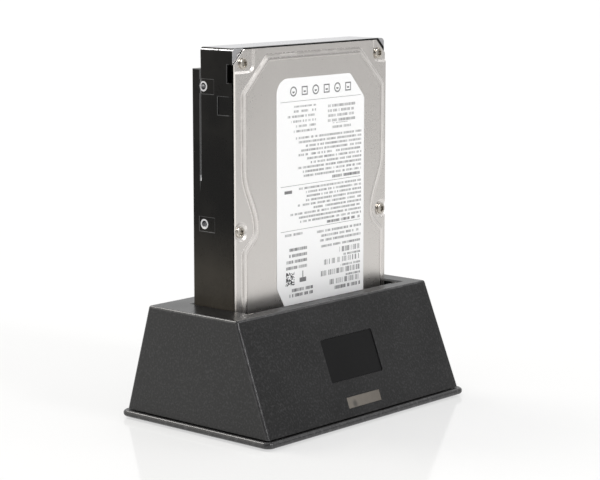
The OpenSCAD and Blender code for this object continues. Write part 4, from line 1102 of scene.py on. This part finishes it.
def barFace(build, wide, tall):
    verts = bmesh.ops.create_grid(build, x_segments=1, y_segments=1, size=0.5 * mm)["verts"]
    bmesh.ops.scale(build, verts=verts, vec=(wide, tall, 1.0))
    return list({face for vert in verts for face in vert.link_faces})


def ringFaces(build, radius, line):
    verts = bmesh.ops.create_circle(
        build, cap_ends=True, segments=rockerMarks["sides"], radius=radius * mm
    )["verts"]
    disc = list({face for vert in verts for face in vert.link_faces})
    faces = bmesh.ops.inset_region(
        build, faces=disc, use_boundary=True, use_even_offset=True, thickness=line * mm
    )["faces"]
    bmesh.ops.delete(build, geom=disc, context="FACES_ONLY")
    return faces


def makeRockerMarks():
    look = rockerMarks
    rocker = mergedCopy("switch_rocker")
    seen = [face for face in rocker.faces if face.normal.y > look["facing"]]
    halves = sorted(seen, key=lambda face: face.calc_area())[-2:]
    halves.sort(key=lambda face: face.calc_center_median().x)
    places = [(face.calc_center_bounds(), face.normal.copy()) for face in halves]
    rocker.free()
    build = bmesh.new()
    upright = Vector((0, 0, 1))
    for makeMark, kind, (centre, normal) in zip((barFace, ringFaces), ("bar", "ring"), places):
        frameHere = Matrix((normal.cross(upright), upright, normal)).transposed().to_4x4()
        frameHere.translation = centre + normal * look["lift"] * mm
        faces = makeMark(build, *look[kind])
        verts = list({vert for face in faces for vert in face.verts})
        bmesh.ops.transform(build, matrix=frameHere, verts=verts)
        plateOn(build, faces, normal, look["rise"])
    bmesh.ops.recalc_face_normals(build, faces=build.faces)
    addPiece("rocker_marks", build, "mark paint", "rocker")


makeRockerMarks()
print("rocker marks made")


# Contact strips on both faces of the tongue in the data socket
tongueStrips = {
    "wide": 1.0, "apart": 2.5, "long": 0.7, "thick": 0.12, "inset": 0.6, "edge": 0.04, "steps": 2,
}


def makeTongueStrips():
    look = tongueStrips
    low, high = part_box("usb_tongue")
    middle = (low + high) / 2
    length = (high.y - low.y) * look["long"]
    build = bmesh.new()
    for level in (low.z, high.z):
        for side in (-0.5, 0.5):
            verts = bmesh.ops.create_cube(build, size=1.0)["verts"]
            bmesh.ops.scale(build, verts=verts, vec=(look["wide"] * mm, length, look["thick"] * mm))
            across, along = side * look["apart"] * mm, length / 2 + look["inset"] * mm
            spot = Vector((middle.x + across, high.y - along, level))
            bmesh.ops.translate(build, verts=verts, vec=spot)
    bmesh.ops.bevel(
        build, geom=build.edges[:], offset=look["edge"] * mm, offset_type="OFFSET", segments=look["steps"],
        profile=0.5, affect="EDGES", clamp_overlap=True, material=-1,
    )
    addPiece("tongue_strips", build, "contact gold", "dock")


makeTongueStrips()
print("tongue strips made")


# Flat faces with rings: turned steps on the motor, turns of wire on the coil
# rings from the outside in: width, depth
ringed = {
    "spindle_motor": {
        "finish": "motor metal", "slot": "motor_metal", "ways": (1,),
        "rings": (
            (0.7, 0.0), (0.25, -0.25), (2.4, 0.0), (0.2, -0.2),
            (3.2, 0.0), (0.2, 0.2), (1.2, 0.0), (0.2, -0.3),
        ),
    },
    "voice_coil": {
        "finish": "coil copper", "slot": "coil_copper", "ways": (1, -1),
        "rings": ((0.10, 0.0), *((0.10, -0.05), (0.10, 0.05)) * 3),
    },
}
outerFaces = {"facing": 0.999, "reach": 0.05}


def makeRinged(node, look):
    build = mergedCopy(node)
    for way in look["ways"]:
        flat = [face for face in build.faces if face.normal.y * way > outerFaces["facing"]]
        heights = [face.calc_center_median().y * way for face in flat]
        least = max(heights) - outerFaces["reach"] * mm
        flat = [face for face, height in zip(flat, heights) if height > least]
        for inward, depth in look["rings"]:
            bmesh.ops.inset_region(
                build, faces=flat, use_boundary=True, use_even_offset=True,
                thickness=inward * mm, depth=depth * mm,
            )
    addPiece(node + "_ringed", build, look["finish"], nodes[node]["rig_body"], [node])


for node, look in ringed.items():
    makeRinged(node, look)
print("ringed pieces made:", len(ringed))


# The other solids keep their shape and get a finish
painted = {
    "base_screws": "screw steel", "cradle_screws": "screw steel", "board_screws": "screw steel",
    "flap_pin": "dark steel", "main_board": "circuit board", "sata_receptacle": "connector plastic",
    "sata_contacts": "contact gold", "bridge_chip": "chip plastic", "flash_chip": "chip plastic",
    "crystal": "can metal", "capacitors": "can metal", "inductor": "chip plastic",
    "status_led": "led lens", "usb_tongue": "tongue plastic", "dc_pin": "contact gold",
    "drive_label": "label paper", "drive_board": "drive circuit board",
    "drive_board_screws": "drive screw steel", "drive_chips": "chip plastic",
    "drive_plug": "connector plastic", "drive_plug_contacts": "contact gold",
    "spindle_hub": "motor metal", "platters": "platter mirror", "platter_spacer": "motor metal",
    "platter_clamp": "motor metal", "clamp_screws": "screw steel", "pivot_post": "motor metal",
    "actuator_arm": "motor metal", "head_sliders": "head steel",
    "magnet_yokes": "magnet metal", "magnets": "magnet metal", "park_ramp": "tongue plastic",
}
for node, finish in painted.items():
    nodes[node].data.materials.clear()
    nodes[node].data.materials.append(finishes[finish])
print("solids painted:", len(painted))

scene.view_settings.view_transform = "Standard"
